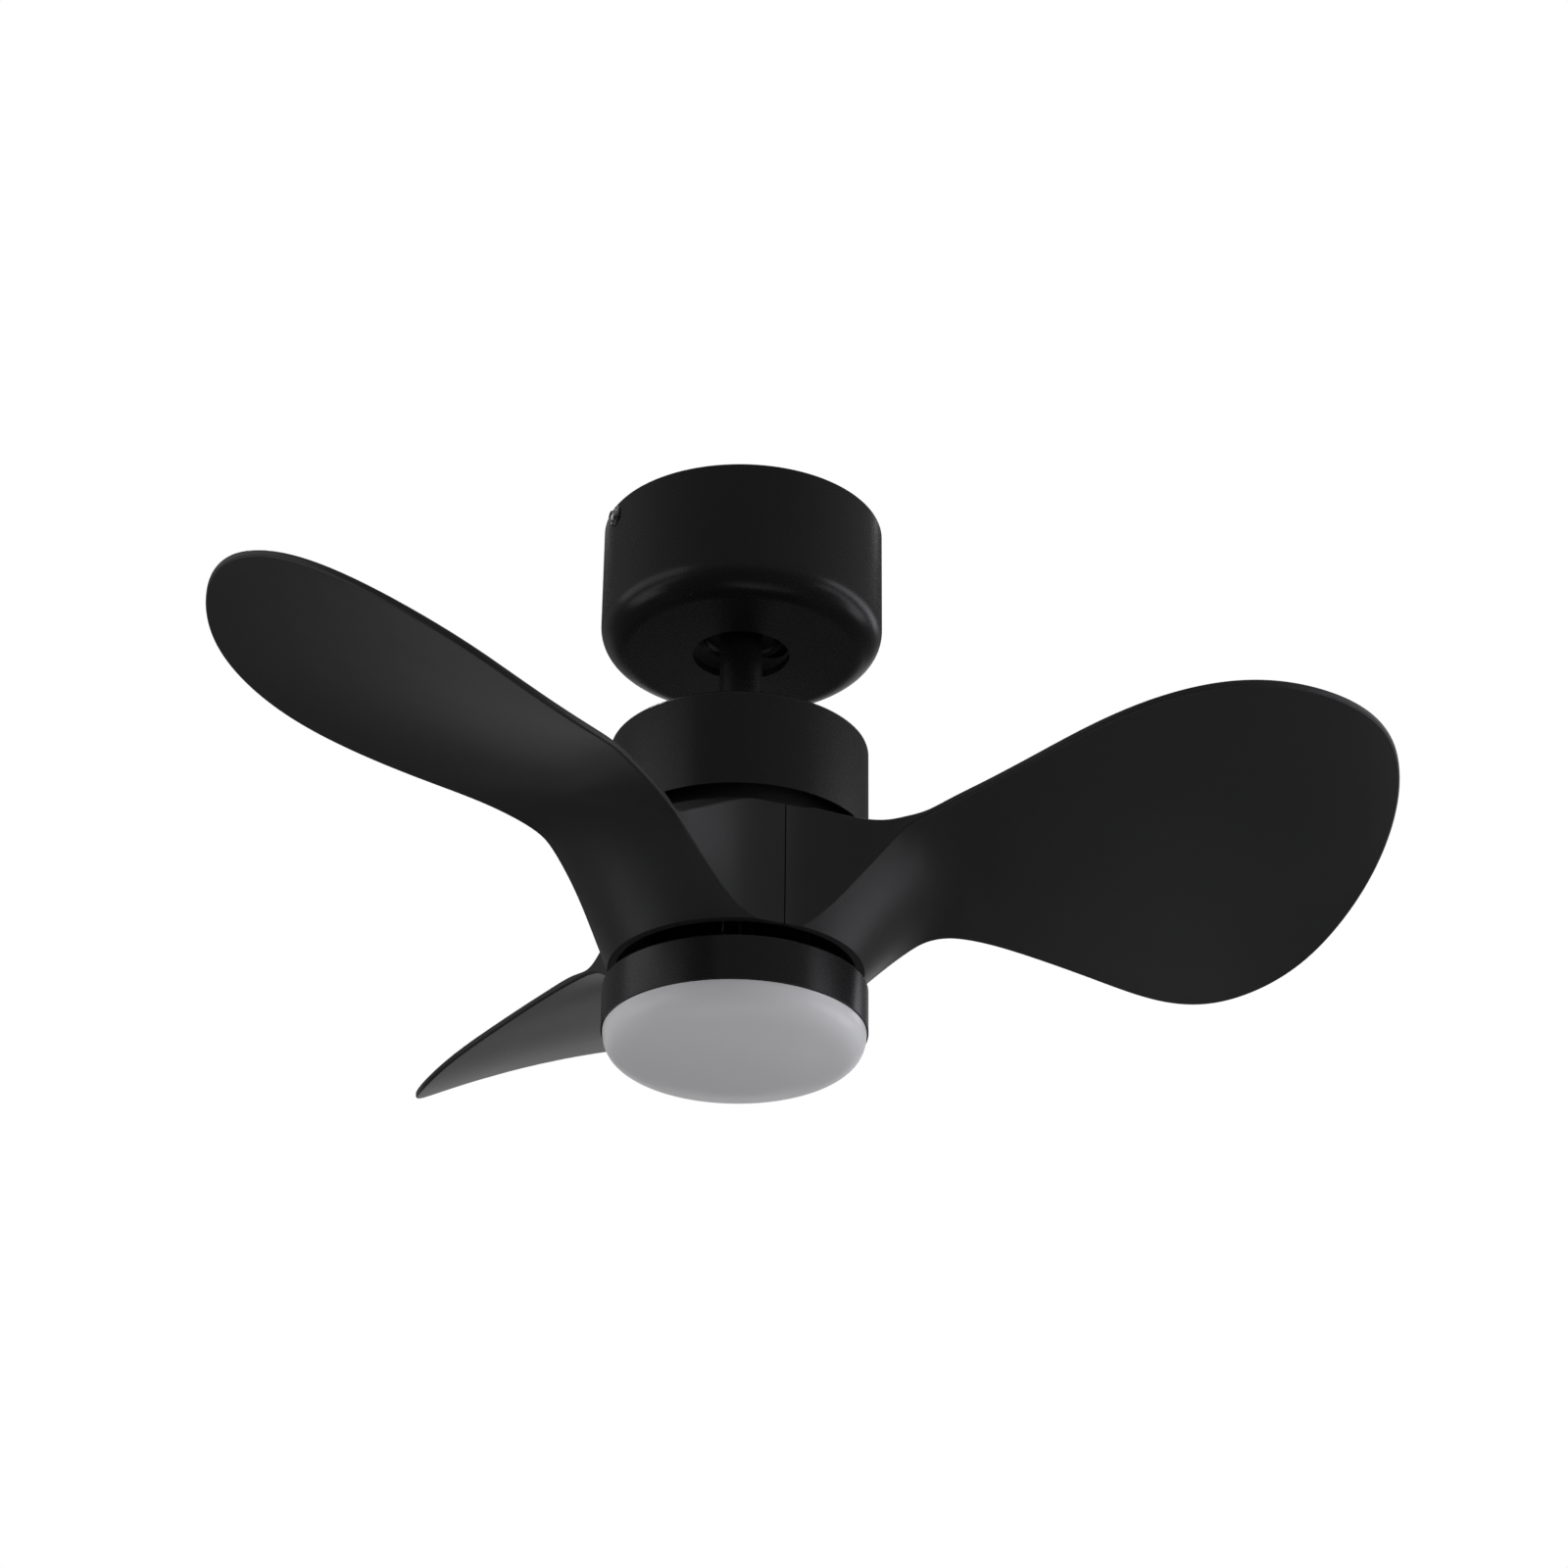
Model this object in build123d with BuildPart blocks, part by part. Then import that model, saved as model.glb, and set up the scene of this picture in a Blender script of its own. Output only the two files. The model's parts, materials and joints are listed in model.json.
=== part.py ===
from build123d import *
import math
import os

# Ceiling fan with light, 660 mm sweep, hung on a short rod under a ceiling canopy.
# Millimetres. The ceiling is the plane z = 0, +Z is up, the rod's axis is the Z axis and
# +X runs along the hanger bracket towards one of the two canopy screws.

# Canopy
canopy_r = 72.9
canopy_h = 71.0
canopy_wall = 1.2
canopy_corner_r = 14.5
canopy_hole_r = 25.0
canopy_lip_h = 4.0
canopy_top_gap = 0.5

# Hanger bracket
bracket_t = 2.0
bracket_w = 30.0
bracket_neck_w = 16.0
bracket_neck_l = 12.0
tab_gap = 0.75
tab_h = 14.0
slot_spacing = 100.0
slot_l = 14.0
slot_w = 5.5
leg_gap = 34.0
seat_plate_w = 62.0
bowl_t = 2.5
bowl_open_angle = 50.0
bowl_top_angle = 79.0

# Canopy screws
canopy_screw_r = 2.0
canopy_screw_drop = 6.75
canopy_screw_len = 9.0
canopy_head_r = 3.6
canopy_head_h = 2.6
canopy_recess_l = 4.0
canopy_recess_w = 0.95
canopy_recess_depth = 1.55
washer_r = 5.4
washer_t = 0.8
washer_tooth = 1.1
washer_teeth = 16

# Hanger ball and its floating seat
ball_r = 25.0
ball_drop = 42.0
ball_above = 8.0
ball_below = 18.0
seat_gap = 0.15
liner_t = 1.7
liner_open_angle = 45.0
liner_top_angle = 74.0
ball_pin_r = 3.0
ball_pin_len = 44.0
ball_pin_rise = 5.0
ball_screw_r = 2.5
ball_screw_len = 8.0
ball_screw_fall = 8.0

# Downrod
rod_r = 11.0
rod_wall = 2.0
rod_above_ball = 10.0
rod_show = 56.5
fit_gap = 0.05
pin_gap = 0.1

# Control box and terminal block in the canopy
box_l = 62.0
box_w = 36.0
box_h = 19.0
box_edge_r = 3.0
terminal_l = 26.0
terminal_t = 12.0
terminal_h = 15.0
terminal_drop = 24.0
terminal_ways = 3
terminal_pitch = 8.0
terminal_hole_r = 2.4
terminal_screw_r = 1.8

# Coupler between rod and motor
coupler_r = 18.0
coupler_h = 26.5
coupler_flange_r = 27.0
coupler_flange_t = 3.0
coupler_boss_r = 13.0
coupler_boss_len = 9.5
rod_insert = 20.0
shaft_top_gap = 0.5
coupler_pin_r = 3.0
coupler_pin_fall = 9.0
coupler_pin_head_r = 4.6
coupler_pin_head_t = 2.0
coupler_pin_tail = 6.0
clip_wire_r = 0.9
clip_leg = 8.0
clip_span = 6.0
clip_bend_r = 2.6
set_screw_r = 2.5
set_screw_fall = 15.5
set_screw_out = 2.5
set_head_af = 8.0
set_head_h = 3.5
lock_nut_h = 3.0
housing_screw_circle_r = 22.6
housing_screw_r = 2.0
housing_screw_head_r = 3.5
housing_screw_head_h = 2.6
housing_screw_len = 7.5
housing_screw_count = 3

# Motor housing, a cup that is open below
housing_r = 65.8
housing_h = 52.0
housing_wall = 1.4
housing_top_t = 1.6
housing_edge_r = 2.5

# Bearings, 17 x 40 x 12 mm
bearing_bore_r = 8.5
bearing_outer_r = 20.0
bearing_w = 12.0
bearing_pitch_r = 14.25
bearing_ball_r = 3.375
bearing_ball_count = 8
bearing_land = 2.35
bearing_run_gap = 0.05
cage_t = 2.0
cage_w = 8.4
bearing_span = 35.0

# Motor: fixed shaft and stator, turning rotor
shaft_bore_r = 5.5
rotor_r = 57.0
rotor_wall = 5.0
rotor_end_t = 4.0
rotor_cover_t = 3.0
rotor_cover_fall = 2.0
pocket_wall = 4.0
magnet_t = 3.4
magnet_h = 20.0
magnet_count = 14
magnet_gap_angle = 1.8
air_gap = 0.8
stator_h = 16.0
stator_hub_r = 24.0
stator_teeth = 12
tooth_w = 6.0
shoe_t = 3.2
shoe_gap = 3.0
coil_w = 12.4
coil_over = 4.0
coil_inner_r = 27.0
coil_outer_r = 43.6
rotor_screw_r = 1.5
rotor_screw_head_r = 2.4
rotor_screw_head_h = 2.2
rotor_screw_len = 12.0
rotor_screw_count = 6

# Blade carrier, hub and blades
hub_gap = 7.7
hub_r = 62.8
hub_h = 64.3
hub_wall = 3.0
carrier_drop = 6.0
carrier_t = 4.0
carrier_gap = 1.0
carrier_boss_r = 34.0
carrier_bore_r = 15.0
carrier_screw_circle_r = 28.0
carrier_screw_r = 2.0
carrier_screw_head_r = 3.6
carrier_screw_head_h = 2.8
carrier_screw_count = 4
flange_t = 4.0
flange_inner_r = 40.0
blade_screw_circle_r = 49.0
blade_screw_angle = 28.0
blade_screw_r = 2.0
blade_screw_head_r = 3.8
blade_screw_head_h = 2.8
blade_screw_tail = 1.5
thread_gap = 0.05
screw_clear = 0.2

blade_count = 3
blade_rest_angle = -33.0
blade_tip_r = 330.0
blade_t = 3.6
blade_edge_share = 0.33
seam_gap = 0.6
round_angle = 5.0
blade_mid_h = 46.7
root_slope = 0.228
tip_slope = 0.40
twist_start = 27.0
twist_end = 177.0
edge_droop = 0.00033
camber = 0.0007
root_dip = 3.0
dip_start = 37.0
dip_end = 67.0
cup_start = 137.0
tip_rise = 32.0
under_flare = 46.0
under_power = 1.45
over_flare = 36.0
over_flare_lean = 13.8
over_power = 1.2
root_trim = 1.5
cavity_angle = 26.0
cavity_reach = 17.0
cavity_floor = 26.0
cavity_roof = 13.0
cavity_end_floor = 36.0
cavity_end_roof = 24.0

# Light
light_gap = 9.5
light_r = 65.7
light_h = 23.0
light_wall = 1.8
light_top_t = 2.0
nut_af = 27.0
nut_h = 8.0
shaft_tail = 1.5
sink_r = 55.0
sink_t = 2.0
sink_drop = 12.0
post_r = 3.5
post_circle_r = 46.0
post_count = 3
post_start_angle = 30.0
board_r = 52.0
board_t = 1.6
chip_l = 3.5
chip_w = 2.8
chip_t = 0.8
inner_chip_r = 18.0
inner_chip_count = 8
outer_chip_r = 38.0
outer_chip_count = 16
board_screw_r = 1.5
board_screw_head_r = 2.8
board_screw_head_h = 1.8
board_screw_bite = 7.0
thread_runout = 1.0
driver_l = 40.0
driver_w = 24.0
driver_h = 9.5
driver_y = 34.0
diffuser_inset = 0.9
diffuser_depth = 21.7
diffuser_wall = 2.0
diffuser_shoulder = 0.74
diffuser_shoulder_drop = 0.745
lip_gap = 0.3
spigot_gap = 2.2
lug_out = 1.8
lug_h = 2.0
lug_angle = 24.0
lug_count = 3
lug_gap = 0.3
hook_rise = 1.0
hook_h = 2.0
hook_clear = 0.4
stop_angle = 3.0

# Heights that follow from the sizes above
ball_z = -ball_drop
housing_top_z = -(canopy_h + rod_show)
housing_bottom_z = housing_top_z - housing_h
coupler_top_z = housing_top_z + coupler_h
coupler_boss_z = housing_top_z - coupler_boss_len
rod_top_z = ball_z + rod_above_ball
rod_bottom_z = coupler_top_z - rod_insert
ball_pin_z = ball_z + ball_pin_rise
coupler_pin_z = coupler_top_z - coupler_pin_fall
shaft_top_z = rod_bottom_z - shaft_top_gap
upper_bearing_z = coupler_boss_z - bearing_w / 2
lower_bearing_z = upper_bearing_z - bearing_span
rotor_bottom_z = lower_bearing_z - bearing_w / 2
rotor_cover_z = coupler_boss_z - rotor_cover_fall
rotor_wall_top_z = rotor_cover_z - rotor_cover_t
stator_z = (rotor_wall_top_z + rotor_bottom_z + rotor_end_t) / 2
hub_top_z = housing_bottom_z - hub_gap
hub_bottom_z = hub_top_z - hub_h
carrier_top_z = hub_top_z - carrier_drop
carrier_bottom_z = carrier_top_z - carrier_t
flange_bottom_z = carrier_bottom_z - flange_t
light_top_z = hub_bottom_z - light_gap
light_inner_z = light_top_z - light_top_t
light_bottom_z = light_top_z - light_h
shaft_bottom_z = light_inner_z - nut_h - shaft_tail
sink_top_z = light_inner_z - sink_drop
board_top_z = sink_top_z - sink_t
board_bottom_z = board_top_z - board_t

# Radii that follow
seat_r = ball_r + 2 * seat_gap + liner_t
leg_x = leg_gap + bracket_t / 2
tab_x = canopy_r - canopy_wall - tab_gap
rod_bore_r = rod_r - rod_wall
pocket_r = bearing_outer_r + fit_gap
pocket_outer_r = pocket_r + pocket_wall
magnet_outer_r = rotor_r - rotor_wall
magnet_inner_r = magnet_outer_r - magnet_t
stator_r = magnet_inner_r - air_gap
hub_inner_r = hub_r - hub_wall
carrier_r = hub_inner_r - carrier_gap
blade_len = blade_tip_r - hub_r
sector_half = 180.0 / blade_count
light_inner_r = light_r - light_wall
diffuser_r = light_r - diffuser_inset
spigot_r = light_inner_r - spigot_gap
lug_r = spigot_r + lug_out
hook_r = spigot_r + hook_clear
hook_top_z = light_bottom_z + hook_rise + hook_h
lug_bottom_z = hook_top_z + lug_gap
spigot_top_z = lug_bottom_z + lug_h
diffuser_top_z = light_bottom_z - lip_gap

os.makedirs("parts", exist_ok=True)


def polar_point(radius, degrees_down):
    # A point of the ball's cross-section, measured from straight down about the ball's centre.
    angle = math.radians(degrees_down)
    return (radius * math.sin(angle), ball_z - radius * math.cos(angle))


# Hanger bracket: a strap on the ceiling, two legs and a bowl that holds the ball
with BuildPart() as hanger_bracket:
    with BuildSketch(Plane.XY.offset(-bracket_t)):
        Rectangle(2 * (tab_x - bracket_neck_l), bracket_w)
        fillet(vertices(), bracket_t)
        Rectangle(2 * tab_x, bracket_neck_w)
        with Locations((slot_spacing / 2, 0), (-slot_spacing / 2, 0)):
            SlotOverall(slot_l, slot_w, mode=Mode.SUBTRACT)
    extrude(amount=bracket_t)
    with BuildSketch(Plane.XY.offset(-tab_h)):
        with Locations((tab_x - bracket_t / 2, 0), (-tab_x + bracket_t / 2, 0)):
            Rectangle(bracket_t, bracket_neck_w)
    extrude(amount=tab_h)
    with BuildSketch(Plane.YZ.offset(tab_x - bracket_t)):
        with Locations((0, -canopy_screw_drop)):
            Circle(canopy_screw_r + thread_gap)
    extrude(amount=bracket_t, mode=Mode.SUBTRACT)
    with BuildSketch(Plane.YZ.offset(-tab_x)):
        with Locations((0, -canopy_screw_drop)):
            Circle(canopy_screw_r + thread_gap)
    extrude(amount=bracket_t, mode=Mode.SUBTRACT)
    bowl_rim_z = polar_point(seat_r, bowl_top_angle)[1]
    with BuildSketch(Plane.XY.offset(bowl_rim_z - bracket_t)):
        Rectangle(2 * (leg_gap + bracket_t), seat_plate_w)
        fillet(vertices(), 4 * bracket_t)
    extrude(amount=bracket_t)
    with BuildSketch(Plane.XY.offset(bowl_rim_z - bracket_t)):
        with Locations((leg_x, 0), (-leg_x, 0)):
            Rectangle(bracket_t, bracket_w)
    extrude(amount=-bowl_rim_z)
    with Locations((0, 0, ball_z)):
        Sphere(seat_r, mode=Mode.SUBTRACT)
    with BuildSketch(Plane.XZ):
        with BuildLine():
            bowl_in = CenterArc(
                (0, ball_z), seat_r, bowl_open_angle - 90, bowl_top_angle - bowl_open_angle
            )
            bowl_out = CenterArc(
                (0, ball_z),
                seat_r + bowl_t,
                bowl_open_angle - 90,
                bowl_top_angle - bowl_open_angle,
            )
            Line(bowl_in @ 0, bowl_out @ 0)
            Line(bowl_in @ 1, bowl_out @ 1)
        make_face()
    revolve(axis=Axis.Z)
hanger_bracket.part.label = "hanger_bracket"
export_step(hanger_bracket.part, "parts/hanger_bracket.step")

# Control box under the strap, between the legs
with BuildPart() as receiver_box:
    with BuildSketch(Plane.XY.offset(-bracket_t - box_h)):
        RectangleRounded(box_l, box_w, box_edge_r)
    extrude(amount=box_h)
    fillet(receiver_box.faces().sort_by(Axis.Z)[0].edges(), box_edge_r / 2)
receiver_box.part.label = "receiver_box"
export_step(receiver_box.part, "parts/receiver_box.step")

# Terminal block on the outside of one leg, with its clamp screws
terminal_x = leg_gap + bracket_t
with BuildPart() as terminal_block:
    with BuildSketch(Plane.YZ.offset(terminal_x)):
        with Locations((0, -terminal_drop - terminal_h / 2)):
            Rectangle(terminal_l, terminal_h)
    extrude(amount=terminal_t)
    with BuildSketch(Plane.XY.offset(-terminal_drop - terminal_h)):
        with Locations((terminal_x + terminal_t / 2, 0)):
            with GridLocations(0, terminal_pitch, 1, terminal_ways):
                Circle(terminal_hole_r)
    extrude(amount=terminal_h / 2, mode=Mode.SUBTRACT)
    with BuildSketch(Plane.XY.offset(-terminal_drop)):
        with Locations((terminal_x + terminal_t / 2, 0)):
            with GridLocations(0, terminal_pitch, 1, terminal_ways):
                Circle(terminal_screw_r + thread_gap)
    extrude(amount=-terminal_h / 2, mode=Mode.SUBTRACT)
terminal_block.part.label = "terminal_block"
export_step(terminal_block.part, "parts/terminal_block.step")

with BuildPart() as terminal_screws:
    with BuildSketch(Plane.XY.offset(-terminal_drop)):
        with Locations((terminal_x + terminal_t / 2, 0)):
            with GridLocations(0, terminal_pitch, 1, terminal_ways):
                Circle(terminal_screw_r)
    extrude(amount=-terminal_h / 2)
terminal_screws.part.label = "terminal_screws"
export_step(terminal_screws.part, "parts/terminal_screws.step")

# Canopy: a deep cup, open to the ceiling, with a round hole for the rod
with BuildPart() as canopy:
    with BuildSketch(Plane.XZ):
        with BuildLine():
            inner_corner_r = canopy_corner_r - canopy_wall
            corner_x = canopy_r - canopy_corner_r
            corner_z = -canopy_h + canopy_corner_r
            Line((canopy_r, -canopy_top_gap), (canopy_r, corner_z))
            CenterArc((corner_x, corner_z), canopy_corner_r, -90, 90)
            Line((corner_x, -canopy_h), (canopy_hole_r, -canopy_h))
            Line((canopy_hole_r, -canopy_h), (canopy_hole_r, -canopy_h + canopy_lip_h))
            Line(
                (canopy_hole_r, -canopy_h + canopy_lip_h),
                (canopy_hole_r + canopy_wall, -canopy_h + canopy_lip_h),
            )
            Line(
                (canopy_hole_r + canopy_wall, -canopy_h + canopy_lip_h),
                (canopy_hole_r + canopy_wall, -canopy_h + canopy_wall),
            )
            Line(
                (canopy_hole_r + canopy_wall, -canopy_h + canopy_wall),
                (corner_x, -canopy_h + canopy_wall),
            )
            CenterArc((corner_x, corner_z), inner_corner_r, -90, 90)
            Line((canopy_r - canopy_wall, corner_z), (canopy_r - canopy_wall, -canopy_top_gap))
            Line((canopy_r - canopy_wall, -canopy_top_gap), (canopy_r, -canopy_top_gap))
        make_face()
    revolve(axis=Axis.Z)
    with BuildSketch(Plane.YZ):
        with Locations((0, -canopy_screw_drop)):
            Circle(canopy_screw_r + screw_clear)
    extrude(amount=canopy_r, both=True, mode=Mode.SUBTRACT)
canopy.part.label = "canopy"
export_step(canopy.part, "parts/canopy.step")

# Two canopy screws on toothed washers, one at each end of the bracket
with BuildPart() as canopy_screws:
    for side in (1, -1):
        head_plane = Plane(
            origin=(side * (canopy_r + washer_t), 0, -canopy_screw_drop),
            x_dir=(0, side, 0),
            z_dir=(side, 0, 0),
        )
        with BuildSketch(head_plane):
            Circle(canopy_head_r)
        extrude(amount=canopy_head_h)
        with BuildSketch(head_plane):
            Circle(canopy_screw_r)
        extrude(amount=-canopy_screw_len)
        with BuildSketch(head_plane.offset(canopy_head_h)):
            Rectangle(canopy_recess_l, canopy_recess_w)
            Rectangle(canopy_recess_w, canopy_recess_l)
        extrude(amount=-canopy_recess_depth, mode=Mode.SUBTRACT)
canopy_screws.part.label = "canopy_screws"
export_step(canopy_screws.part, "parts/canopy_screws.step")

with BuildPart() as canopy_washers:
    for side in (1, -1):
        washer_plane = Plane(
            origin=(side * canopy_r, 0, -canopy_screw_drop),
            x_dir=(0, side, 0),
            z_dir=(side, 0, 0),
        )
        with BuildSketch(washer_plane):
            Circle(washer_r - washer_tooth / 2)
            with PolarLocations(washer_r - washer_tooth / 2, washer_teeth):
                Rectangle(washer_tooth, washer_tooth)
            Circle(canopy_screw_r + screw_clear, mode=Mode.SUBTRACT)
        extrude(amount=washer_t)
canopy_washers.part.label = "canopy_washers"
export_step(canopy_washers.part, "parts/canopy_washers.step")

# Floating seat between the bowl and the ball
with BuildPart() as ball_seat:
    with BuildSketch(Plane.XZ):
        with BuildLine():
            liner_span = liner_top_angle - liner_open_angle
            liner_in = CenterArc(
                (0, ball_z), ball_r + seat_gap, liner_open_angle - 90, liner_span
            )
            liner_out = CenterArc(
                (0, ball_z), ball_r + seat_gap + liner_t, liner_open_angle - 90, liner_span
            )
            Line(liner_in @ 0, liner_out @ 0)
            Line(liner_in @ 1, liner_out @ 1)
        make_face()
    revolve(axis=Axis.Z)
ball_seat.part.label = "ball_seat"
export_step(ball_seat.part, "parts/ball_seat.step")

# Hanger ball on the rod's upper end, with its cross pin and set screw
with BuildPart() as hanger_ball:
    with Locations((0, 0, ball_z)):
        Sphere(ball_r)
    split(bisect_by=Plane.XY.offset(ball_z + ball_above), keep=Keep.BOTTOM)
    split(bisect_by=Plane.XY.offset(ball_z - ball_below), keep=Keep.TOP)
    with BuildSketch(Plane.XY.offset(ball_z - ball_below)):
        Circle(rod_r + fit_gap)
    extrude(amount=ball_below + ball_above, mode=Mode.SUBTRACT)
    with BuildSketch(Plane.YZ):
        with Locations((0, ball_pin_z)):
            Circle(ball_pin_r + pin_gap)
        with Locations((0, (ball_pin_z + ball_z + ball_above) / 2)):
            Rectangle(2 * (ball_pin_r + pin_gap), ball_z + ball_above - ball_pin_z)
    extrude(amount=ball_r, both=True, mode=Mode.SUBTRACT)
    with BuildSketch(Plane.XZ):
        with Locations((0, ball_z - ball_screw_fall)):
            Circle(ball_screw_r + thread_gap)
    extrude(amount=ball_r, mode=Mode.SUBTRACT)
hanger_ball.part.label = "hanger_ball"
export_step(hanger_ball.part, "parts/hanger_ball.step")

with BuildPart() as ball_pin:
    with BuildSketch(Plane.YZ):
        with Locations((0, ball_pin_z)):
            Circle(ball_pin_r)
    extrude(amount=ball_pin_len / 2, both=True)
    chamfer(ball_pin.edges().filter_by(GeomType.CIRCLE), ball_pin_r / 6)
ball_pin.part.label = "ball_pin"
export_step(ball_pin.part, "parts/ball_pin.step")

with BuildPart() as ball_set_screw:
    with BuildSketch(Plane.XZ.offset(rod_r + fit_gap)):
        with Locations((0, ball_z - ball_screw_fall)):
            Circle(ball_screw_r)
    extrude(amount=ball_screw_len)
    with BuildSketch(Plane.XZ.offset(rod_r + fit_gap + ball_screw_len)):
        with Locations((0, ball_z - ball_screw_fall)):
            RegularPolygon(ball_screw_r / 2, 6)
    extrude(amount=-ball_screw_len / 3, mode=Mode.SUBTRACT)
ball_set_screw.part.label = "ball_set_screw"
export_step(ball_set_screw.part, "parts/ball_set_screw.step")

# Downrod: a tube, cross-drilled at both ends
with BuildPart() as downrod:
    with BuildSketch(Plane.XY.offset(rod_bottom_z)):
        Circle(rod_r)
        Circle(rod_bore_r, mode=Mode.SUBTRACT)
    extrude(amount=rod_top_z - rod_bottom_z)
    with BuildSketch(Plane.YZ):
        with Locations((0, ball_pin_z)):
            Circle(ball_pin_r + pin_gap)
        with Locations((0, coupler_pin_z)):
            Circle(coupler_pin_r + pin_gap)
    extrude(amount=rod_r, both=True, mode=Mode.SUBTRACT)
downrod.part.label = "downrod"
export_step(downrod.part, "parts/downrod.step")

# Coupler: socket for the rod above, flange on the housing, boss for the shaft below
with BuildPart() as motor_coupler:
    with BuildSketch(Plane.XY.offset(housing_top_z)):
        Circle(coupler_flange_r)
    extrude(amount=coupler_flange_t)
    with BuildSketch(Plane.XY.offset(housing_top_z)):
        Circle(coupler_r)
    extrude(amount=coupler_h)
    fillet(motor_coupler.faces().sort_by(Axis.Z)[-1].edges(), coupler_flange_t / 2)
    with BuildSketch(Plane.XY.offset(coupler_boss_z)):
        Circle(coupler_boss_r)
    extrude(amount=coupler_boss_len)
    with BuildSketch(Plane.XY.offset(coupler_boss_z)):
        Circle(bearing_bore_r + fit_gap)
    extrude(amount=coupler_boss_len + coupler_h, mode=Mode.SUBTRACT)
    with BuildSketch(Plane.XY.offset(coupler_top_z)):
        Circle(rod_r + fit_gap)
    extrude(amount=-rod_insert, mode=Mode.SUBTRACT)
    with BuildSketch(Plane.YZ):
        with Locations((0, coupler_pin_z)):
            Circle(coupler_pin_r + pin_gap)
    extrude(amount=coupler_r, both=True, mode=Mode.SUBTRACT)
    with BuildSketch(Plane.XZ):
        with Locations((0, coupler_top_z - set_screw_fall)):
            Circle(set_screw_r + thread_gap)
    extrude(amount=coupler_r, both=True, mode=Mode.SUBTRACT)
    with BuildSketch(Plane.XY.offset(housing_top_z)):
        with PolarLocations(housing_screw_circle_r, housing_screw_count):
            Circle(housing_screw_r + screw_clear)
    extrude(amount=coupler_flange_t, mode=Mode.SUBTRACT)
motor_coupler.part.label = "motor_coupler"
export_step(motor_coupler.part, "parts/motor_coupler.step")

clip_x = coupler_r + coupler_pin_tail / 2
with BuildPart() as coupler_pin:
    with BuildSketch(Plane.YZ.offset(-coupler_r)):
        with Locations((0, coupler_pin_z)):
            Circle(coupler_pin_r)
    extrude(amount=2 * coupler_r + coupler_pin_tail)
    with BuildSketch(Plane.YZ.offset(-coupler_r)):
        with Locations((0, coupler_pin_z)):
            Circle(coupler_pin_head_r)
    extrude(amount=-coupler_pin_head_t)
    with BuildSketch(Plane.XY.offset(coupler_pin_z)):
        with Locations((clip_x, 0)):
            Circle(clip_wire_r + pin_gap)
    extrude(amount=coupler_pin_r, both=True, mode=Mode.SUBTRACT)
coupler_pin.part.label = "coupler_pin"
export_step(coupler_pin.part, "parts/coupler_pin.step")

# Spring clip through the pin's tail
with BuildPart() as coupler_clip:
    with BuildLine(Plane.YZ.offset(clip_x)) as clip_path:
        FilletPolyline(
            (0, coupler_pin_z - clip_leg),
            (0, coupler_pin_z + clip_leg),
            (clip_span, coupler_pin_z + clip_leg),
            (clip_span, coupler_pin_z - clip_leg / 2),
            radius=clip_bend_r,
        )
    with BuildSketch(Plane(origin=clip_path.line @ 0, z_dir=clip_path.line % 0)):
        Circle(clip_wire_r)
    sweep()
coupler_clip.part.label = "coupler_clip"
export_step(coupler_clip.part, "parts/coupler_clip.step")

set_screw_z = coupler_top_z - set_screw_fall
set_head_y = coupler_r + lock_nut_h + set_screw_out
with BuildPart() as coupler_set_screws:
    for side in (1, -1):
        set_plane = Plane(
            origin=(0, side * (rod_r + fit_gap), set_screw_z),
            x_dir=(1, 0, 0),
            z_dir=(0, side, 0),
        )
        with BuildSketch(set_plane):
            Circle(set_screw_r)
        extrude(amount=set_head_y - rod_r)
        with BuildSketch(set_plane.offset(set_head_y - rod_r)):
            RegularPolygon(set_head_af / 2, 6, major_radius=False)
        extrude(amount=set_head_h)
coupler_set_screws.part.label = "coupler_set_screws"
export_step(coupler_set_screws.part, "parts/coupler_set_screws.step")

with BuildPart() as coupler_lock_nuts:
    for side in (1, -1):
        nut_plane = Plane(
            origin=(0, side * coupler_r, set_screw_z), x_dir=(1, 0, 0), z_dir=(0, side, 0)
        )
        with BuildSketch(nut_plane):
            RegularPolygon(set_head_af / 2, 6, major_radius=False)
            Circle(set_screw_r + thread_gap, mode=Mode.SUBTRACT)
        extrude(amount=lock_nut_h)
coupler_lock_nuts.part.label = "coupler_lock_nuts"
export_step(coupler_lock_nuts.part, "parts/coupler_lock_nuts.step")

# Motor housing and the screws that hold it to the coupler's flange
with BuildPart() as motor_housing:
    with BuildSketch(Plane.XY.offset(housing_bottom_z)):
        Circle(housing_r)
    extrude(amount=housing_h)
    fillet(motor_housing.faces().sort_by(Axis.Z)[-1].edges(), housing_edge_r)
    with BuildSketch(Plane.XY.offset(housing_bottom_z)):
        Circle(housing_r - housing_wall)
    extrude(amount=housing_h - housing_top_t, mode=Mode.SUBTRACT)
    with BuildSketch(Plane.XY.offset(housing_top_z)):
        Circle(coupler_boss_r + screw_clear)
        with PolarLocations(housing_screw_circle_r, housing_screw_count):
            Circle(housing_screw_r + thread_gap)
    extrude(amount=-housing_top_t, mode=Mode.SUBTRACT)
motor_housing.part.label = "motor_housing"
export_step(motor_housing.part, "parts/motor_housing.step")

with BuildPart() as housing_screws:
    with BuildSketch(Plane.XY.offset(housing_top_z + coupler_flange_t)):
        with PolarLocations(housing_screw_circle_r, housing_screw_count):
            Circle(housing_screw_head_r)
    extrude(amount=housing_screw_head_h)
    with BuildSketch(Plane.XY.offset(housing_top_z + coupler_flange_t)):
        with PolarLocations(housing_screw_circle_r, housing_screw_count):
            Circle(housing_screw_r)
    extrude(amount=-housing_screw_len)
housing_screws.part.label = "housing_screws"
export_step(housing_screws.part, "parts/housing_screws.step")

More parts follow.
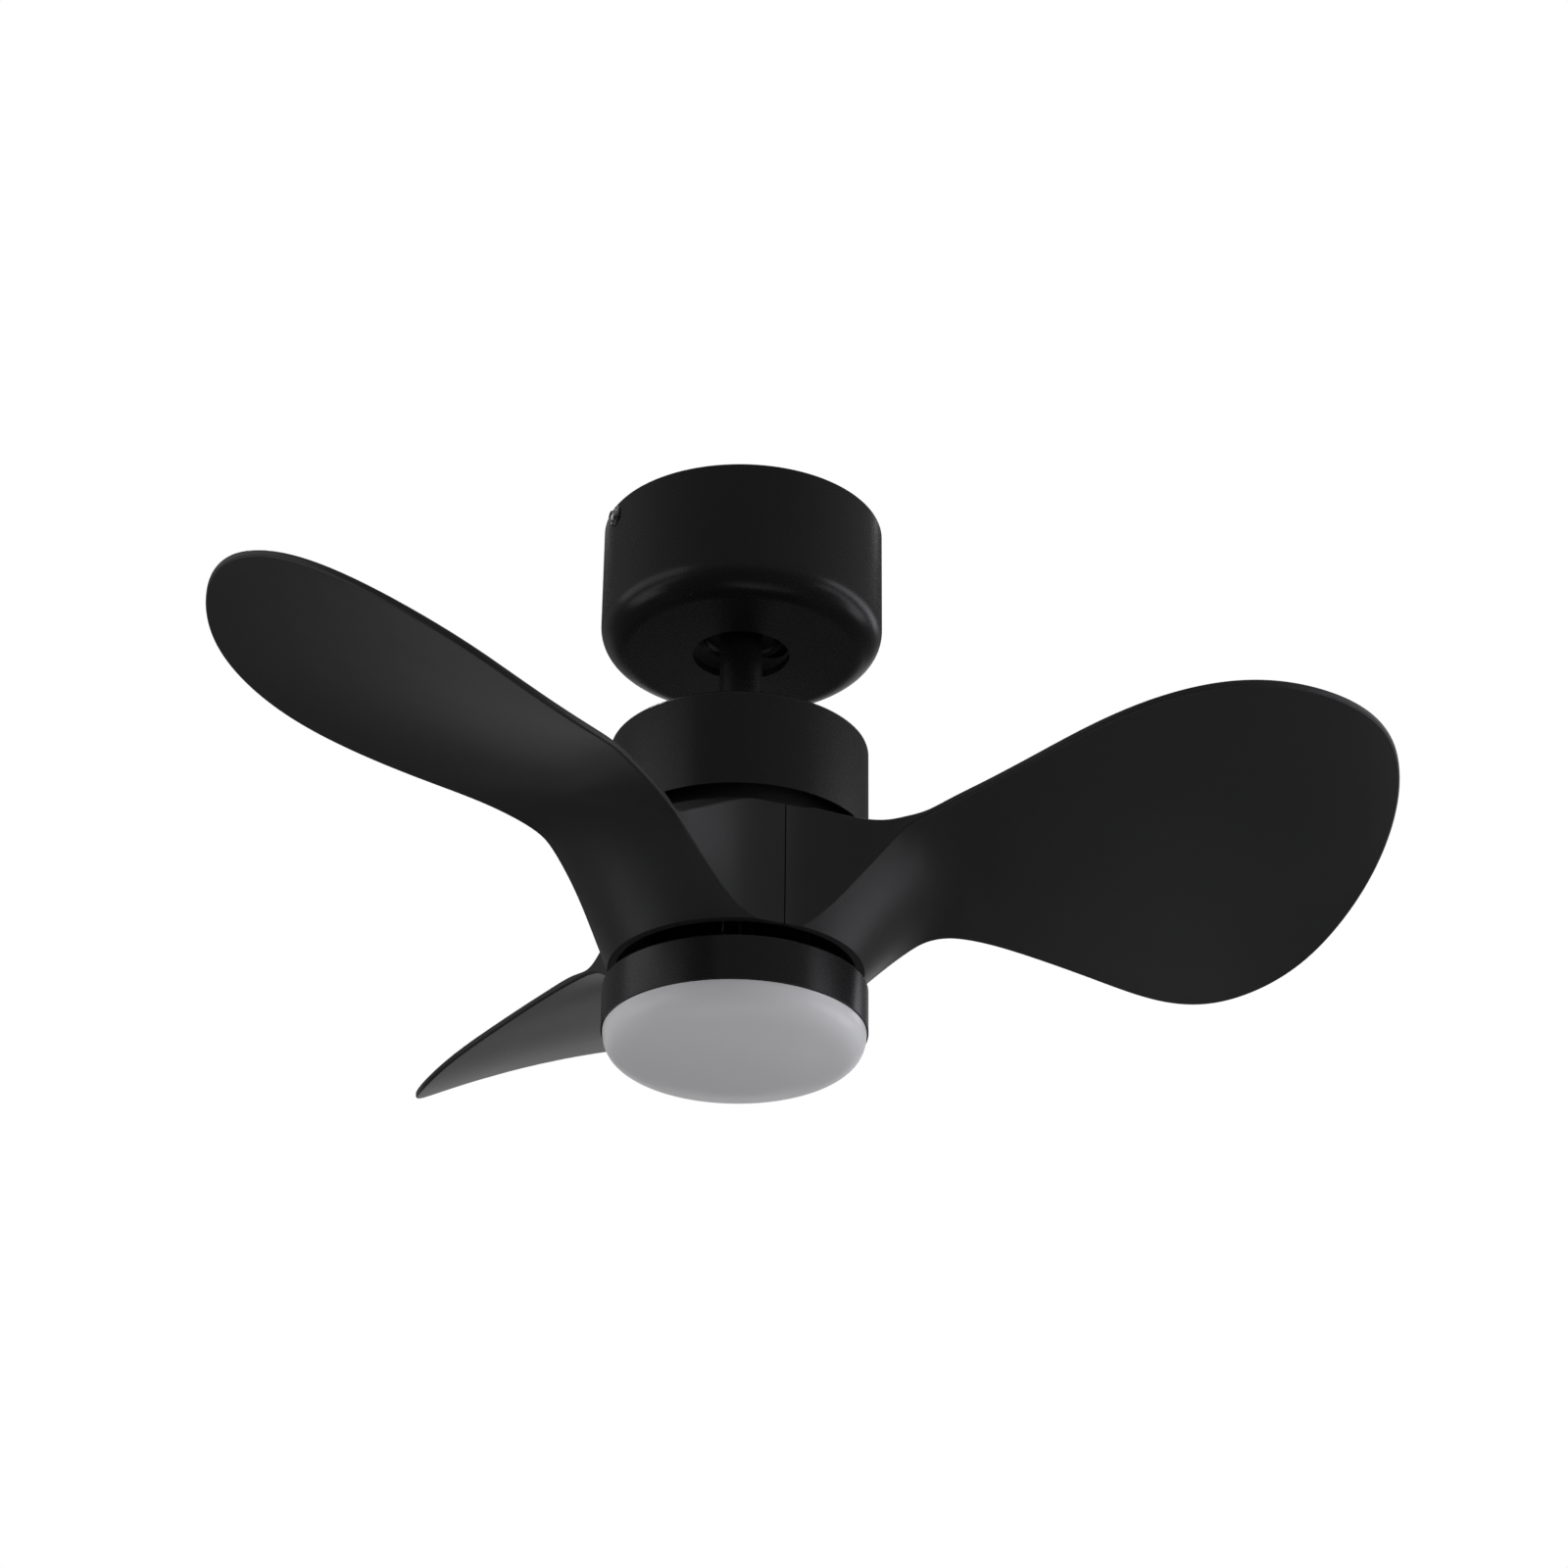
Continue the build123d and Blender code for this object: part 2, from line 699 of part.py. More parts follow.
# Hollow motor shaft, fixed, from the coupler down to the light
with BuildPart() as motor_shaft:
    with BuildSketch(Plane.XY.offset(shaft_bottom_z)):
        Circle(bearing_bore_r)
        Circle(shaft_bore_r, mode=Mode.SUBTRACT)
    extrude(amount=shaft_top_z - shaft_bottom_z)
motor_shaft.part.label = "motor_shaft"
export_step(motor_shaft.part, "parts/motor_shaft.step")

# Two ball bearings: inner ring, outer ring, cage and balls
for bearing, bearing_z in (("upper", upper_bearing_z), ("lower", lower_bearing_z)):
    race_r = bearing_ball_r + bearing_run_gap
    with BuildPart() as inner_ring:
        with BuildSketch(Plane.XY.offset(bearing_z - bearing_w / 2)):
            Circle(bearing_pitch_r - bearing_land)
            Circle(bearing_bore_r + fit_gap, mode=Mode.SUBTRACT)
        extrude(amount=bearing_w)
        with Locations((0, 0, bearing_z)):
            Torus(bearing_pitch_r, race_r, mode=Mode.SUBTRACT)
    inner_ring.part.label = bearing + "_bearing_inner_ring"
    export_step(inner_ring.part, "parts/" + bearing + "_bearing_inner_ring.step")

    with BuildPart() as outer_ring:
        with BuildSketch(Plane.XY.offset(bearing_z - bearing_w / 2)):
            Circle(bearing_outer_r)
            Circle(bearing_pitch_r + bearing_land, mode=Mode.SUBTRACT)
        extrude(amount=bearing_w)
        with Locations((0, 0, bearing_z)):
            Torus(bearing_pitch_r, race_r, mode=Mode.SUBTRACT)
    outer_ring.part.label = bearing + "_bearing_outer_ring"
    export_step(outer_ring.part, "parts/" + bearing + "_bearing_outer_ring.step")

    with BuildPart() as bearing_balls:
        with Locations((0, 0, bearing_z)):
            with PolarLocations(bearing_pitch_r, bearing_ball_count):
                Sphere(bearing_ball_r)
    bearing_balls.part.label = bearing + "_bearing_balls"
    export_step(bearing_balls.part, "parts/" + bearing + "_bearing_balls.step")

    with BuildPart() as bearing_cage:
        with BuildSketch(Plane.XY.offset(bearing_z - cage_w / 2)):
            Circle(bearing_pitch_r + cage_t / 2)
            Circle(bearing_pitch_r - cage_t / 2, mode=Mode.SUBTRACT)
        extrude(amount=cage_w)
        with Locations((0, 0, bearing_z)):
            with PolarLocations(bearing_pitch_r, bearing_ball_count):
                Cylinder(race_r, 2 * cage_t, rotation=(0, 90, 0), mode=Mode.SUBTRACT)
    bearing_cage.part.label = bearing + "_bearing_cage"
    export_step(bearing_cage.part, "parts/" + bearing + "_bearing_cage.step")

# Stator on the shaft: a toothed core with one coil round each tooth
with BuildPart() as stator_core:
    with BuildSketch(Plane.XY.offset(stator_z - stator_h / 2)):
        Circle(stator_r)
        Circle(stator_r - shoe_t, mode=Mode.SUBTRACT)
        with PolarLocations(stator_r - shoe_t / 2, stator_teeth, start_angle=180 / stator_teeth):
            Rectangle(2 * shoe_t, shoe_gap, mode=Mode.SUBTRACT)
        Circle(stator_hub_r)
        with PolarLocations((stator_hub_r + stator_r - shoe_t) / 2, stator_teeth):
            Rectangle(stator_r - stator_hub_r, tooth_w)
        Circle(bearing_bore_r + fit_gap, mode=Mode.SUBTRACT)
    extrude(amount=stator_h)
stator_core.part.label = "stator_core"
export_step(stator_core.part, "parts/stator_core.step")

with BuildPart() as stator_windings:
    with BuildSketch(Plane.XY.offset(stator_z - stator_h / 2 - coil_over)):
        with PolarLocations((coil_inner_r + coil_outer_r) / 2, stator_teeth):
            Rectangle(coil_outer_r - coil_inner_r, coil_w)
    extrude(amount=stator_h + 2 * coil_over)
    with BuildSketch(Plane.XY.offset(stator_z - stator_h / 2 - fit_gap)):
        with PolarLocations((coil_inner_r + coil_outer_r) / 2, stator_teeth):
            Rectangle(coil_outer_r - coil_inner_r + 2 * tooth_w, tooth_w + 2 * fit_gap)
    extrude(amount=stator_h + 2 * fit_gap, mode=Mode.SUBTRACT)
stator_windings.part.label = "stator_windings"
export_step(stator_windings.part, "parts/stator_windings.step")

# Rotor: lower bell with the wall, upper cover, magnets inside the wall
with BuildPart() as rotor_can:
    with BuildSketch(Plane.XY.offset(rotor_bottom_z)):
        Circle(rotor_r)
        Circle(pocket_r, mode=Mode.SUBTRACT)
    extrude(amount=rotor_end_t)
    with BuildSketch(Plane.XY.offset(rotor_bottom_z)):
        Circle(rotor_r)
        Circle(magnet_outer_r, mode=Mode.SUBTRACT)
    extrude(amount=rotor_wall_top_z - rotor_bottom_z)
    with BuildSketch(Plane.XY.offset(rotor_bottom_z)):
        Circle(pocket_outer_r)
        Circle(pocket_r, mode=Mode.SUBTRACT)
    extrude(amount=bearing_w)
    with BuildSketch(Plane.XY.offset(rotor_wall_top_z)):
        with PolarLocations(rotor_r - rotor_wall / 2, rotor_screw_count):
            Circle(rotor_screw_r + thread_gap)
    extrude(amount=-rotor_screw_len, mode=Mode.SUBTRACT)
    with BuildSketch(Plane.XY.offset(rotor_bottom_z)):
        with PolarLocations(carrier_screw_circle_r, carrier_screw_count):
            Circle(carrier_screw_r + thread_gap)
    extrude(amount=rotor_end_t, mode=Mode.SUBTRACT)
rotor_can.part.label = "rotor_can"
export_step(rotor_can.part, "parts/rotor_can.step")

with BuildPart() as rotor_cover:
    with BuildSketch(Plane.XY.offset(rotor_wall_top_z)):
        Circle(rotor_r)
        Circle(pocket_r, mode=Mode.SUBTRACT)
        with PolarLocations(rotor_r - rotor_wall / 2, rotor_screw_count):
            Circle(rotor_screw_r + screw_clear, mode=Mode.SUBTRACT)
    extrude(amount=rotor_cover_t)
    with BuildSketch(Plane.XY.offset(upper_bearing_z - bearing_w / 2)):
        Circle(pocket_outer_r)
        Circle(pocket_r, mode=Mode.SUBTRACT)
    extrude(amount=rotor_cover_z - upper_bearing_z + bearing_w / 2)
rotor_cover.part.label = "rotor_cover"
export_step(rotor_cover.part, "parts/rotor_cover.step")

with BuildPart() as rotor_screws:
    with BuildSketch(Plane.XY.offset(rotor_cover_z)):
        with PolarLocations(rotor_r - rotor_wall / 2, rotor_screw_count):
            Circle(rotor_screw_head_r)
    extrude(amount=rotor_screw_head_h)
    with BuildSketch(Plane.XY.offset(rotor_cover_z)):
        with PolarLocations(rotor_r - rotor_wall / 2, rotor_screw_count):
            Circle(rotor_screw_r)
    extrude(amount=-rotor_screw_len)
rotor_screws.part.label = "rotor_screws"
export_step(rotor_screws.part, "parts/rotor_screws.step")

magnet_angle = 360.0 / magnet_count - magnet_gap_angle
with BuildPart() as rotor_magnets:
    with BuildSketch(Plane.XY.offset(stator_z - magnet_h / 2)):
        with BuildLine():
            magnet_in = CenterArc((0, 0), magnet_inner_r, -magnet_angle / 2, magnet_angle)
            magnet_out = CenterArc((0, 0), magnet_outer_r, -magnet_angle / 2, magnet_angle)
            Line(magnet_in @ 0, magnet_out @ 0)
            Line(magnet_in @ 1, magnet_out @ 1)
        magnet_face = make_face(mode=Mode.PRIVATE)
        with PolarLocations(0, magnet_count):
            add(magnet_face)
    extrude(amount=magnet_h)
rotor_magnets.part.label = "rotor_magnets"
export_step(rotor_magnets.part, "parts/rotor_magnets.step")

# Blade carrier: a plate under the rotor that the three blades are screwed to
with BuildPart() as blade_carrier:
    with BuildSketch(Plane.XY.offset(carrier_bottom_z)):
        Circle(carrier_r)
    extrude(amount=carrier_t)
    with BuildSketch(Plane.XY.offset(carrier_top_z)):
        Circle(carrier_boss_r)
    extrude(amount=rotor_bottom_z - carrier_top_z)
    with BuildSketch(Plane.XY.offset(carrier_bottom_z)):
        Circle(carrier_bore_r)
        with PolarLocations(carrier_screw_circle_r, carrier_screw_count):
            Circle(carrier_screw_r + screw_clear)
        for blade in range(blade_count):
            for side in (1, -1):
                with PolarLocations(
                    blade_screw_circle_r,
                    1,
                    start_angle=blade_rest_angle + blade * 2 * sector_half + side * blade_screw_angle,
                ):
                    Circle(blade_screw_r + thread_gap)
    extrude(amount=rotor_bottom_z - carrier_bottom_z, mode=Mode.SUBTRACT)
blade_carrier.part.label = "blade_carrier"
export_step(blade_carrier.part, "parts/blade_carrier.step")

with BuildPart() as carrier_screws:
    with BuildSketch(Plane.XY.offset(carrier_bottom_z)):
        with PolarLocations(carrier_screw_circle_r, carrier_screw_count):
            Circle(carrier_screw_head_r)
    extrude(amount=-carrier_screw_head_h)
    with BuildSketch(Plane.XY.offset(carrier_bottom_z)):
        with PolarLocations(carrier_screw_circle_r, carrier_screw_count):
            Circle(carrier_screw_r)
    extrude(amount=rotor_bottom_z - carrier_bottom_z + rotor_end_t)
carrier_screws.part.label = "carrier_screws"
export_step(carrier_screws.part, "parts/carrier_screws.step")


# Plan of the blade as (share of the blade's length beyond the hub, offset across it):
# trailing edge from the hub out to the tip, then the leading edge back to the hub.
trailing_edge = (
    (-0.04, 43.3),
    (0.03, 40.0),
    (0.087, 40.0),
    (0.143, 43.0),
    (0.266, 56.0),
    (0.40, 72.4),
    (0.536, 86.8),
    (0.618, 89.5),
    (0.708, 86.5),
    (0.809, 76.2),
    (0.895, 57.2),
    (0.963, 30.6),
)
leading_edge = (
    (0.998, -2.0),
    (0.99, -32.0),
    (0.942, -59.4),
    (0.868, -81.3),
    (0.78, -97.0),
    (0.682, -105.0),
    (0.574, -104.6),
    (0.465, -95.8),
    (0.264, -67.0),
    (0.18, -56.0),
    (0.113, -50.0),
    (0.057, -47.2),
    (0.0, -46.6),
    (-0.06, -48.4),
)


def ramp(value, start, end):
    return min(1.0, max(0.0, (value - start) / (end - start)))


def blade_slope(out):
    return root_slope + (tip_slope - root_slope) * ramp(out, twist_start, twist_end)


def plan_offset(edge, share):
    # Offset of one edge of the plan at a share of the blade's length, straight between its points.
    points = sorted(edge)
    for (near_share, near_y), (far_share, far_y) in zip(points, points[1:]):
        if share <= far_share:
            return near_y + (far_y - near_y) * (share - near_share) / (far_share - near_share)
    return points[-1][1]


def blade_sheet(x, y):
    # Height of the blade's underside away from the hub: pitched, hollow between its edges, cupped tip.
    out = x - hub_r
    trailing_y = plan_offset(trailing_edge + leading_edge[:1], out / blade_len)
    leading_y = plan_offset(leading_edge, out / blade_len)
    hollow = camber * (trailing_y - y) * (y - leading_y)
    dip = root_dip * (1.0 - ramp(out, dip_start, dip_end)) ** 2
    cup = tip_rise * (max(0.0, out - cup_start) / (blade_len - cup_start)) ** 2
    mid_z = hub_bottom_z + blade_mid_h - dip + cup
    return mid_z + hollow - blade_slope(out) * y - edge_droop * y * y


def flare(radius, reach, power):
    # 0 at the hub's wall, 1 where the root has run out into the blade.
    return 1.0 - (1.0 - min(1.0, (radius - hub_r) / reach)) ** power


def blade_under(x, y):
    # At the hub's wall the root stands past the hub's face, where it is trimmed flush.
    share = flare(math.hypot(x, y), under_flare, under_power)
    root_z = hub_bottom_z - root_trim
    return root_z + (blade_sheet(x, y) - root_z) * share


def blade_over(x, y):
    # The top runs out over a longer way on the trailing side, where the blade lies lower.
    share = flare(math.hypot(x, y), over_flare + over_flare_lean * y / hub_r, over_power)
    tall = blade_t * math.sqrt(1.0 + blade_slope(x - hub_r) ** 2)
    root_z = hub_top_z + root_trim
    return root_z + (blade_sheet(x, y) + tall - root_z) * share


def seam_point(radius, side):
    # A point of the joint between two blade roots, half the joint's width off the radial line.
    half = math.radians(sector_half)
    along = math.sqrt(radius**2 - (seam_gap / 2) ** 2)
    x = along * math.cos(half) + seam_gap / 2 * math.sin(half)
    y = along * math.sin(half) - seam_gap / 2 * math.cos(half)
    return (x, side * y)


def wall_point(side):
    # A point of the hub's wall a little way in from the joint, where the root is still round.
    angle = math.radians(sector_half - round_angle)
    return (hub_r * math.cos(angle), side * hub_r * math.sin(angle))


section_shares = (
    -0.14, -0.09, -0.04, 0.0, 0.035, 0.07, 0.105, 0.14, 0.18,
    0.25, 0.35, 0.47, 0.60, 0.73, 0.85, 0.94, 1.02,
)
section_points = 11
section_root_reach = 1.1
section_spread = 0.18
spread_start = 0.1
spread_end = 0.5

flange_half = sector_half - math.degrees(seam_gap / flange_inner_r)

# One blade along +X, made of a lofted body trimmed to its plan, with a hollow root
with BuildPart() as blade_form:
    for share in section_shares:
        section_x = hub_r + share * blade_len
        spread = section_spread * blade_len * ramp(share, spread_start, spread_end)
        reach = section_root_reach * hub_r + spread
        with BuildSketch(Plane.YZ.offset(section_x)):
            with BuildLine():
                across = [
                    reach * (2.0 * step / (section_points - 1) - 1.0)
                    for step in range(section_points)
                ]
                under = Spline(*[(y, blade_under(section_x, y)) for y in across])
                over = Spline(*[(y, blade_over(section_x, y)) for y in across])
                Line(under @ 0, over @ 0)
                Line(under @ 1, over @ 1)
            make_face()
    loft()
    with BuildSketch(Plane.XY.offset(hub_bottom_z - hub_h)):
        with BuildLine():
            edge_points = [
                (hub_r + share * blade_len, offset_y)
                for share, offset_y in trailing_edge + leading_edge
            ]
            Spline(
                seam_point(hub_r, 1),
                wall_point(1),
                *edge_points,
                wall_point(-1),
                seam_point(hub_r, -1),
            )
            Line(seam_point(hub_r, 1), seam_point(hub_inner_r - hub_wall, 1))
            Line(seam_point(hub_inner_r - hub_wall, 1), seam_point(hub_inner_r - hub_wall, -1))
            Line(seam_point(hub_inner_r - hub_wall, -1), seam_point(hub_r, -1))
        make_face()
    extrude(amount=3 * hub_h, mode=Mode.INTERSECT)
    fillet(blade_form.edges().sort_by(SortBy.LENGTH)[-2:], radius=blade_edge_share * blade_t)
    with BuildSketch(Plane.XY.offset(hub_top_z)):
        Circle(hub_r + hub_wall)
    extrude(amount=hub_h, mode=Mode.SUBTRACT)
    with BuildSketch(Plane.XY.offset(hub_bottom_z)):
        Circle(hub_r + hub_wall)
    extrude(amount=-hub_h, mode=Mode.SUBTRACT)
    with BuildSketch(Plane.XY.offset(hub_bottom_z)):
        Circle(hub_inner_r)
    extrude(amount=hub_h, mode=Mode.SUBTRACT)
    with BuildSketch(Plane.XZ):
        with BuildLine():
            Polyline(
                (hub_inner_r - hub_wall, hub_bottom_z + cavity_floor),
                (hub_inner_r, hub_bottom_z + cavity_floor),
                (hub_r + cavity_reach, hub_bottom_z + cavity_end_floor),
                (hub_r + cavity_reach, hub_top_z - cavity_end_roof),
                (hub_inner_r, hub_top_z - cavity_roof),
                (hub_inner_r - hub_wall, hub_top_z - cavity_roof),
                close=True,
            )
        make_face()
    cavity = revolve(axis=Axis.Z, revolution_arc=2 * cavity_angle, mode=Mode.PRIVATE)
    add(cavity, rotation=(0, 0, -cavity_angle), mode=Mode.SUBTRACT)
    with BuildSketch(Plane.XY.offset(flange_bottom_z)):
        with BuildLine():
            flange_out = CenterArc((0, 0), hub_inner_r + hub_wall / 2, -flange_half, 2 * flange_half)
            flange_in = CenterArc((0, 0), flange_inner_r, -flange_half, 2 * flange_half)
            Line(flange_in @ 0, flange_out @ 0)
            Line(flange_in @ 1, flange_out @ 1)
        make_face()
        for side in (1, -1):
            with PolarLocations(blade_screw_circle_r, 1, start_angle=side * blade_screw_angle):
                Circle(blade_screw_r + screw_clear, mode=Mode.SUBTRACT)
    extrude(amount=flange_t)

# The three blades, turned to where the photograph has them
blade_angles = [blade_rest_angle + blade * 2 * sector_half for blade in range(blade_count)]
for number, angle in enumerate(blade_angles, start=1):
    with BuildPart() as blade:
        add(blade_form.part, rotation=(0, 0, angle))
    blade.part.label = "blade_" + str(number)
    export_step(blade.part, "parts/blade_" + str(number) + ".step")

with BuildPart() as blade_screws:
    for angle in blade_angles:
        for side in (1, -1):
            with BuildSketch(Plane.XY.offset(flange_bottom_z)):
                with PolarLocations(blade_screw_circle_r, 1, start_angle=angle + side * blade_screw_angle):
                    Circle(blade_screw_head_r)
            extrude(amount=-blade_screw_head_h)
            with BuildSketch(Plane.XY.offset(flange_bottom_z)):
                with PolarLocations(blade_screw_circle_r, 1, start_angle=angle + side * blade_screw_angle):
                    Circle(blade_screw_r)
            extrude(amount=flange_t + carrier_t + blade_screw_tail)
blade_screws.part.label = "blade_screws"
export_step(blade_screws.part, "parts/blade_screws.step")

# Light housing: a shallow cup under the hub, with posts for the light board and
# hooks that the diffuser's lugs turn onto
hook_angles = [360.0 / lug_count * number for number in range(lug_count)]
with BuildPart() as light_housing:
    with BuildSketch(Plane.XY.offset(light_bottom_z)):
        Circle(light_r)
    extrude(amount=light_h)
    fillet(light_housing.faces().sort_by(Axis.Z)[-1].edges(), light_wall / 2)
    with BuildSketch(Plane.XY.offset(light_bottom_z)):
        Circle(light_inner_r)
    extrude(amount=light_h - light_top_t, mode=Mode.SUBTRACT)
    with BuildSketch(Plane.XY.offset(light_top_z)):
        Circle(bearing_bore_r + fit_gap)
    extrude(amount=-light_top_t, mode=Mode.SUBTRACT)
    with BuildSketch(Plane.XY.offset(light_inner_z)):
        with PolarLocations(post_circle_r, post_count, start_angle=post_start_angle):
            Circle(post_r)
    extrude(amount=-sink_drop)
    with BuildSketch(Plane.XY.offset(sink_top_z)):
        with PolarLocations(post_circle_r, post_count, start_angle=post_start_angle):
            Circle(board_screw_r + thread_gap)
    extrude(amount=board_screw_bite + thread_runout, mode=Mode.SUBTRACT)
    for angle in hook_angles:
        with BuildSketch(Plane.XZ.rotated((0, 0, angle)), mode=Mode.PRIVATE) as hook_profile:
            with Locations(((hook_r + light_r - light_wall / 2) / 2, hook_top_z - hook_h / 2)):
                Rectangle(light_r - light_wall / 2 - hook_r, hook_h)
        revolve(hook_profile.sketch, axis=Axis.Z, revolution_arc=lug_angle + stop_angle)
        stop_start = angle + lug_angle + math.degrees(lug_gap / lug_r)
        with BuildSketch(Plane.XZ.rotated((0, 0, stop_start)), mode=Mode.PRIVATE) as stop_profile:
            with Locations(
                ((hook_r + light_r - light_wall / 2) / 2, (hook_top_z + spigot_top_z - hook_h) / 2)
            ):
                Rectangle(light_r - light_wall / 2 - hook_r, spigot_top_z - hook_top_z + hook_h)
        revolve(stop_profile.sketch, axis=Axis.Z, revolution_arc=stop_angle)
light_housing.part.label = "light_housing"
export_step(light_housing.part, "parts/light_housing.step")

# Two nuts clamp the light housing on the shaft
with BuildPart() as shaft_nuts:
    with BuildSketch(Plane.XY.offset(light_top_z)):
        RegularPolygon(nut_af / 2, 6, major_radius=False)
        Circle(bearing_bore_r + fit_gap, mode=Mode.SUBTRACT)
    extrude(amount=nut_h)
    with BuildSketch(Plane.XY.offset(light_inner_z)):
        RegularPolygon(nut_af / 2, 6, major_radius=False)
        Circle(bearing_bore_r + fit_gap, mode=Mode.SUBTRACT)
    extrude(amount=-nut_h)
shaft_nuts.part.label = "shaft_nuts"
export_step(shaft_nuts.part, "parts/shaft_nuts.step")

with BuildPart() as led_driver:
    with BuildSketch(Plane.XY.offset(light_inner_z)):
        with Locations((0, driver_y)):
            RectangleRounded(driver_l, driver_w, driver_w / 10)
    extrude(amount=-driver_h)
led_driver.part.label = "led_driver"
export_step(led_driver.part, "parts/led_driver.step")

with BuildPart() as heat_sink:
    with BuildSketch(Plane.XY.offset(board_top_z)):
        Circle(sink_r)
        with PolarLocations(post_circle_r, post_count, start_angle=post_start_angle):
            Circle(board_screw_r + screw_clear, mode=Mode.SUBTRACT)
    extrude(amount=sink_t)
heat_sink.part.label = "heat_sink"
export_step(heat_sink.part, "parts/heat_sink.step")

with BuildPart() as led_board:
    with BuildSketch(Plane.XY.offset(board_bottom_z)):
        Circle(board_r)
        with PolarLocations(post_circle_r, post_count, start_angle=post_start_angle):
            Circle(board_screw_r + screw_clear, mode=Mode.SUBTRACT)
    extrude(amount=board_t)
led_board.part.label = "led_board"
export_step(led_board.part, "parts/led_board.step")

with BuildPart() as led_chips:
    with BuildSketch(Plane.XY.offset(board_bottom_z)):
        with PolarLocations(inner_chip_r, inner_chip_count):
            Rectangle(chip_l, chip_w)
        with PolarLocations(outer_chip_r, outer_chip_count):
            Rectangle(chip_l, chip_w)
    extrude(amount=-chip_t)
led_chips.part.label = "led_chips"
export_step(led_chips.part, "parts/led_chips.step")

with BuildPart() as board_screws:
    with BuildSketch(Plane.XY.offset(board_bottom_z)):
        with PolarLocations(post_circle_r, post_count, start_angle=post_start_angle):
            Circle(board_screw_head_r)
    extrude(amount=-board_screw_head_h)
    with BuildSketch(Plane.XY.offset(board_bottom_z)):
        with PolarLocations(post_circle_r, post_count, start_angle=post_start_angle):
            Circle(board_screw_r)
    extrude(amount=board_t + sink_t + board_screw_bite)
board_screws.part.label = "board_screws"
export_step(board_screws.part, "parts/board_screws.step")

# Diffuser: a shallow opal dome on a short spigot with three lugs
with BuildPart() as diffuser:
    with BuildSketch(Plane.XZ):
        with BuildLine():
            dome_in_r = diffuser_r - diffuser_wall
            dome_in_depth = diffuser_depth - diffuser_wall
            Spline(
                (diffuser_r, diffuser_top_z),
                (
                    diffuser_shoulder * diffuser_r,
                    diffuser_top_z - diffuser_shoulder_drop * diffuser_depth,
                ),
                (0, diffuser_top_z - diffuser_depth),
                tangents=((0, -1), (-1, 0)),
            )
            Line((0, diffuser_top_z - diffuser_depth), (0, diffuser_top_z - dome_in_depth))
            Spline(
                (0, diffuser_top_z - dome_in_depth),
                (
                    diffuser_shoulder * dome_in_r,
                    diffuser_top_z - diffuser_shoulder_drop * dome_in_depth,
                ),
                (spigot_r - diffuser_wall, diffuser_top_z),
                tangents=((1, 0), (0, 1)),
            )
            Polyline(
                (spigot_r - diffuser_wall, diffuser_top_z),
                (spigot_r - diffuser_wall, spigot_top_z),
                (spigot_r, spigot_top_z),
                (spigot_r, diffuser_top_z),
                (diffuser_r, diffuser_top_z),
            )
        make_face()
    revolve(axis=Axis.Z)
    for angle in hook_angles:
        with BuildSketch(Plane.XZ.rotated((0, 0, angle)), mode=Mode.PRIVATE) as lug_profile:
            with Locations(((spigot_r - diffuser_wall / 2 + lug_r) / 2, spigot_top_z - lug_h / 2)):
                Rectangle(lug_r - spigot_r + diffuser_wall / 2, lug_h)
        revolve(lug_profile.sketch, axis=Axis.Z, revolution_arc=lug_angle)
diffuser.part.label = "diffuser"
export_step(diffuser.part, "parts/diffuser.step")
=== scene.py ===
import json
import math

import bmesh
import bpy
from mathutils import Matrix, Vector


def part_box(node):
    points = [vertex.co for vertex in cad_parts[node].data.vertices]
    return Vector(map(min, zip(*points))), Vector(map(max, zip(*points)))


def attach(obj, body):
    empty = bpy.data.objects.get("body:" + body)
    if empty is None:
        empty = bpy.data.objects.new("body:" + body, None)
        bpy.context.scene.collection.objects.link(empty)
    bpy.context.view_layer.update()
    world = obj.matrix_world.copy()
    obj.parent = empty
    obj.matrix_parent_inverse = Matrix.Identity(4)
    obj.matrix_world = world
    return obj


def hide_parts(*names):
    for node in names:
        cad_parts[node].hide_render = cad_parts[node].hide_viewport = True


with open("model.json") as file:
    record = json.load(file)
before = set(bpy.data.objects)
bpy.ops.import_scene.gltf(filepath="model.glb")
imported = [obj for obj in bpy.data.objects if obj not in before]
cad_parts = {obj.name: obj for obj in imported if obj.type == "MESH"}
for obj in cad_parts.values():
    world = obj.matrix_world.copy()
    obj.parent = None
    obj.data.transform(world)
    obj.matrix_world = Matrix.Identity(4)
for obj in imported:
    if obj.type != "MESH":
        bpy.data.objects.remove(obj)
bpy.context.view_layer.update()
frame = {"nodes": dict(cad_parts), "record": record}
nodes = frame["nodes"]
slotOf = {row["node"]: row["material_slot"] for row in frame["record"]["subparts"]}
scene = bpy.context.scene
print("fan frame loaded:", len(nodes), "nodes")


# helpers for shader and geometry node trees: values go to the node's settings or to its sockets
def addNode(tree, kind, links=None, **values):
    node = tree.nodes.new(kind)
    for key, value in values.items():
        if hasattr(node, key):
            setattr(node, key, value)
        else:
            node.inputs[key.replace("_", " ")].default_value = value
    for socket, source in (links or {}).items():
        tree.links.new(source, node.inputs[socket])
    return node


def calc(tree, operation, *terms):
    node = tree.nodes.new("ShaderNodeMath")                      # each term is a socket or a number
    node.operation = operation
    for place, term in enumerate(terms):
        if isinstance(term, (int, float)):
            node.inputs[place].default_value = term
        else:
            tree.links.new(term, node.inputs[place])
    return node.outputs[0]


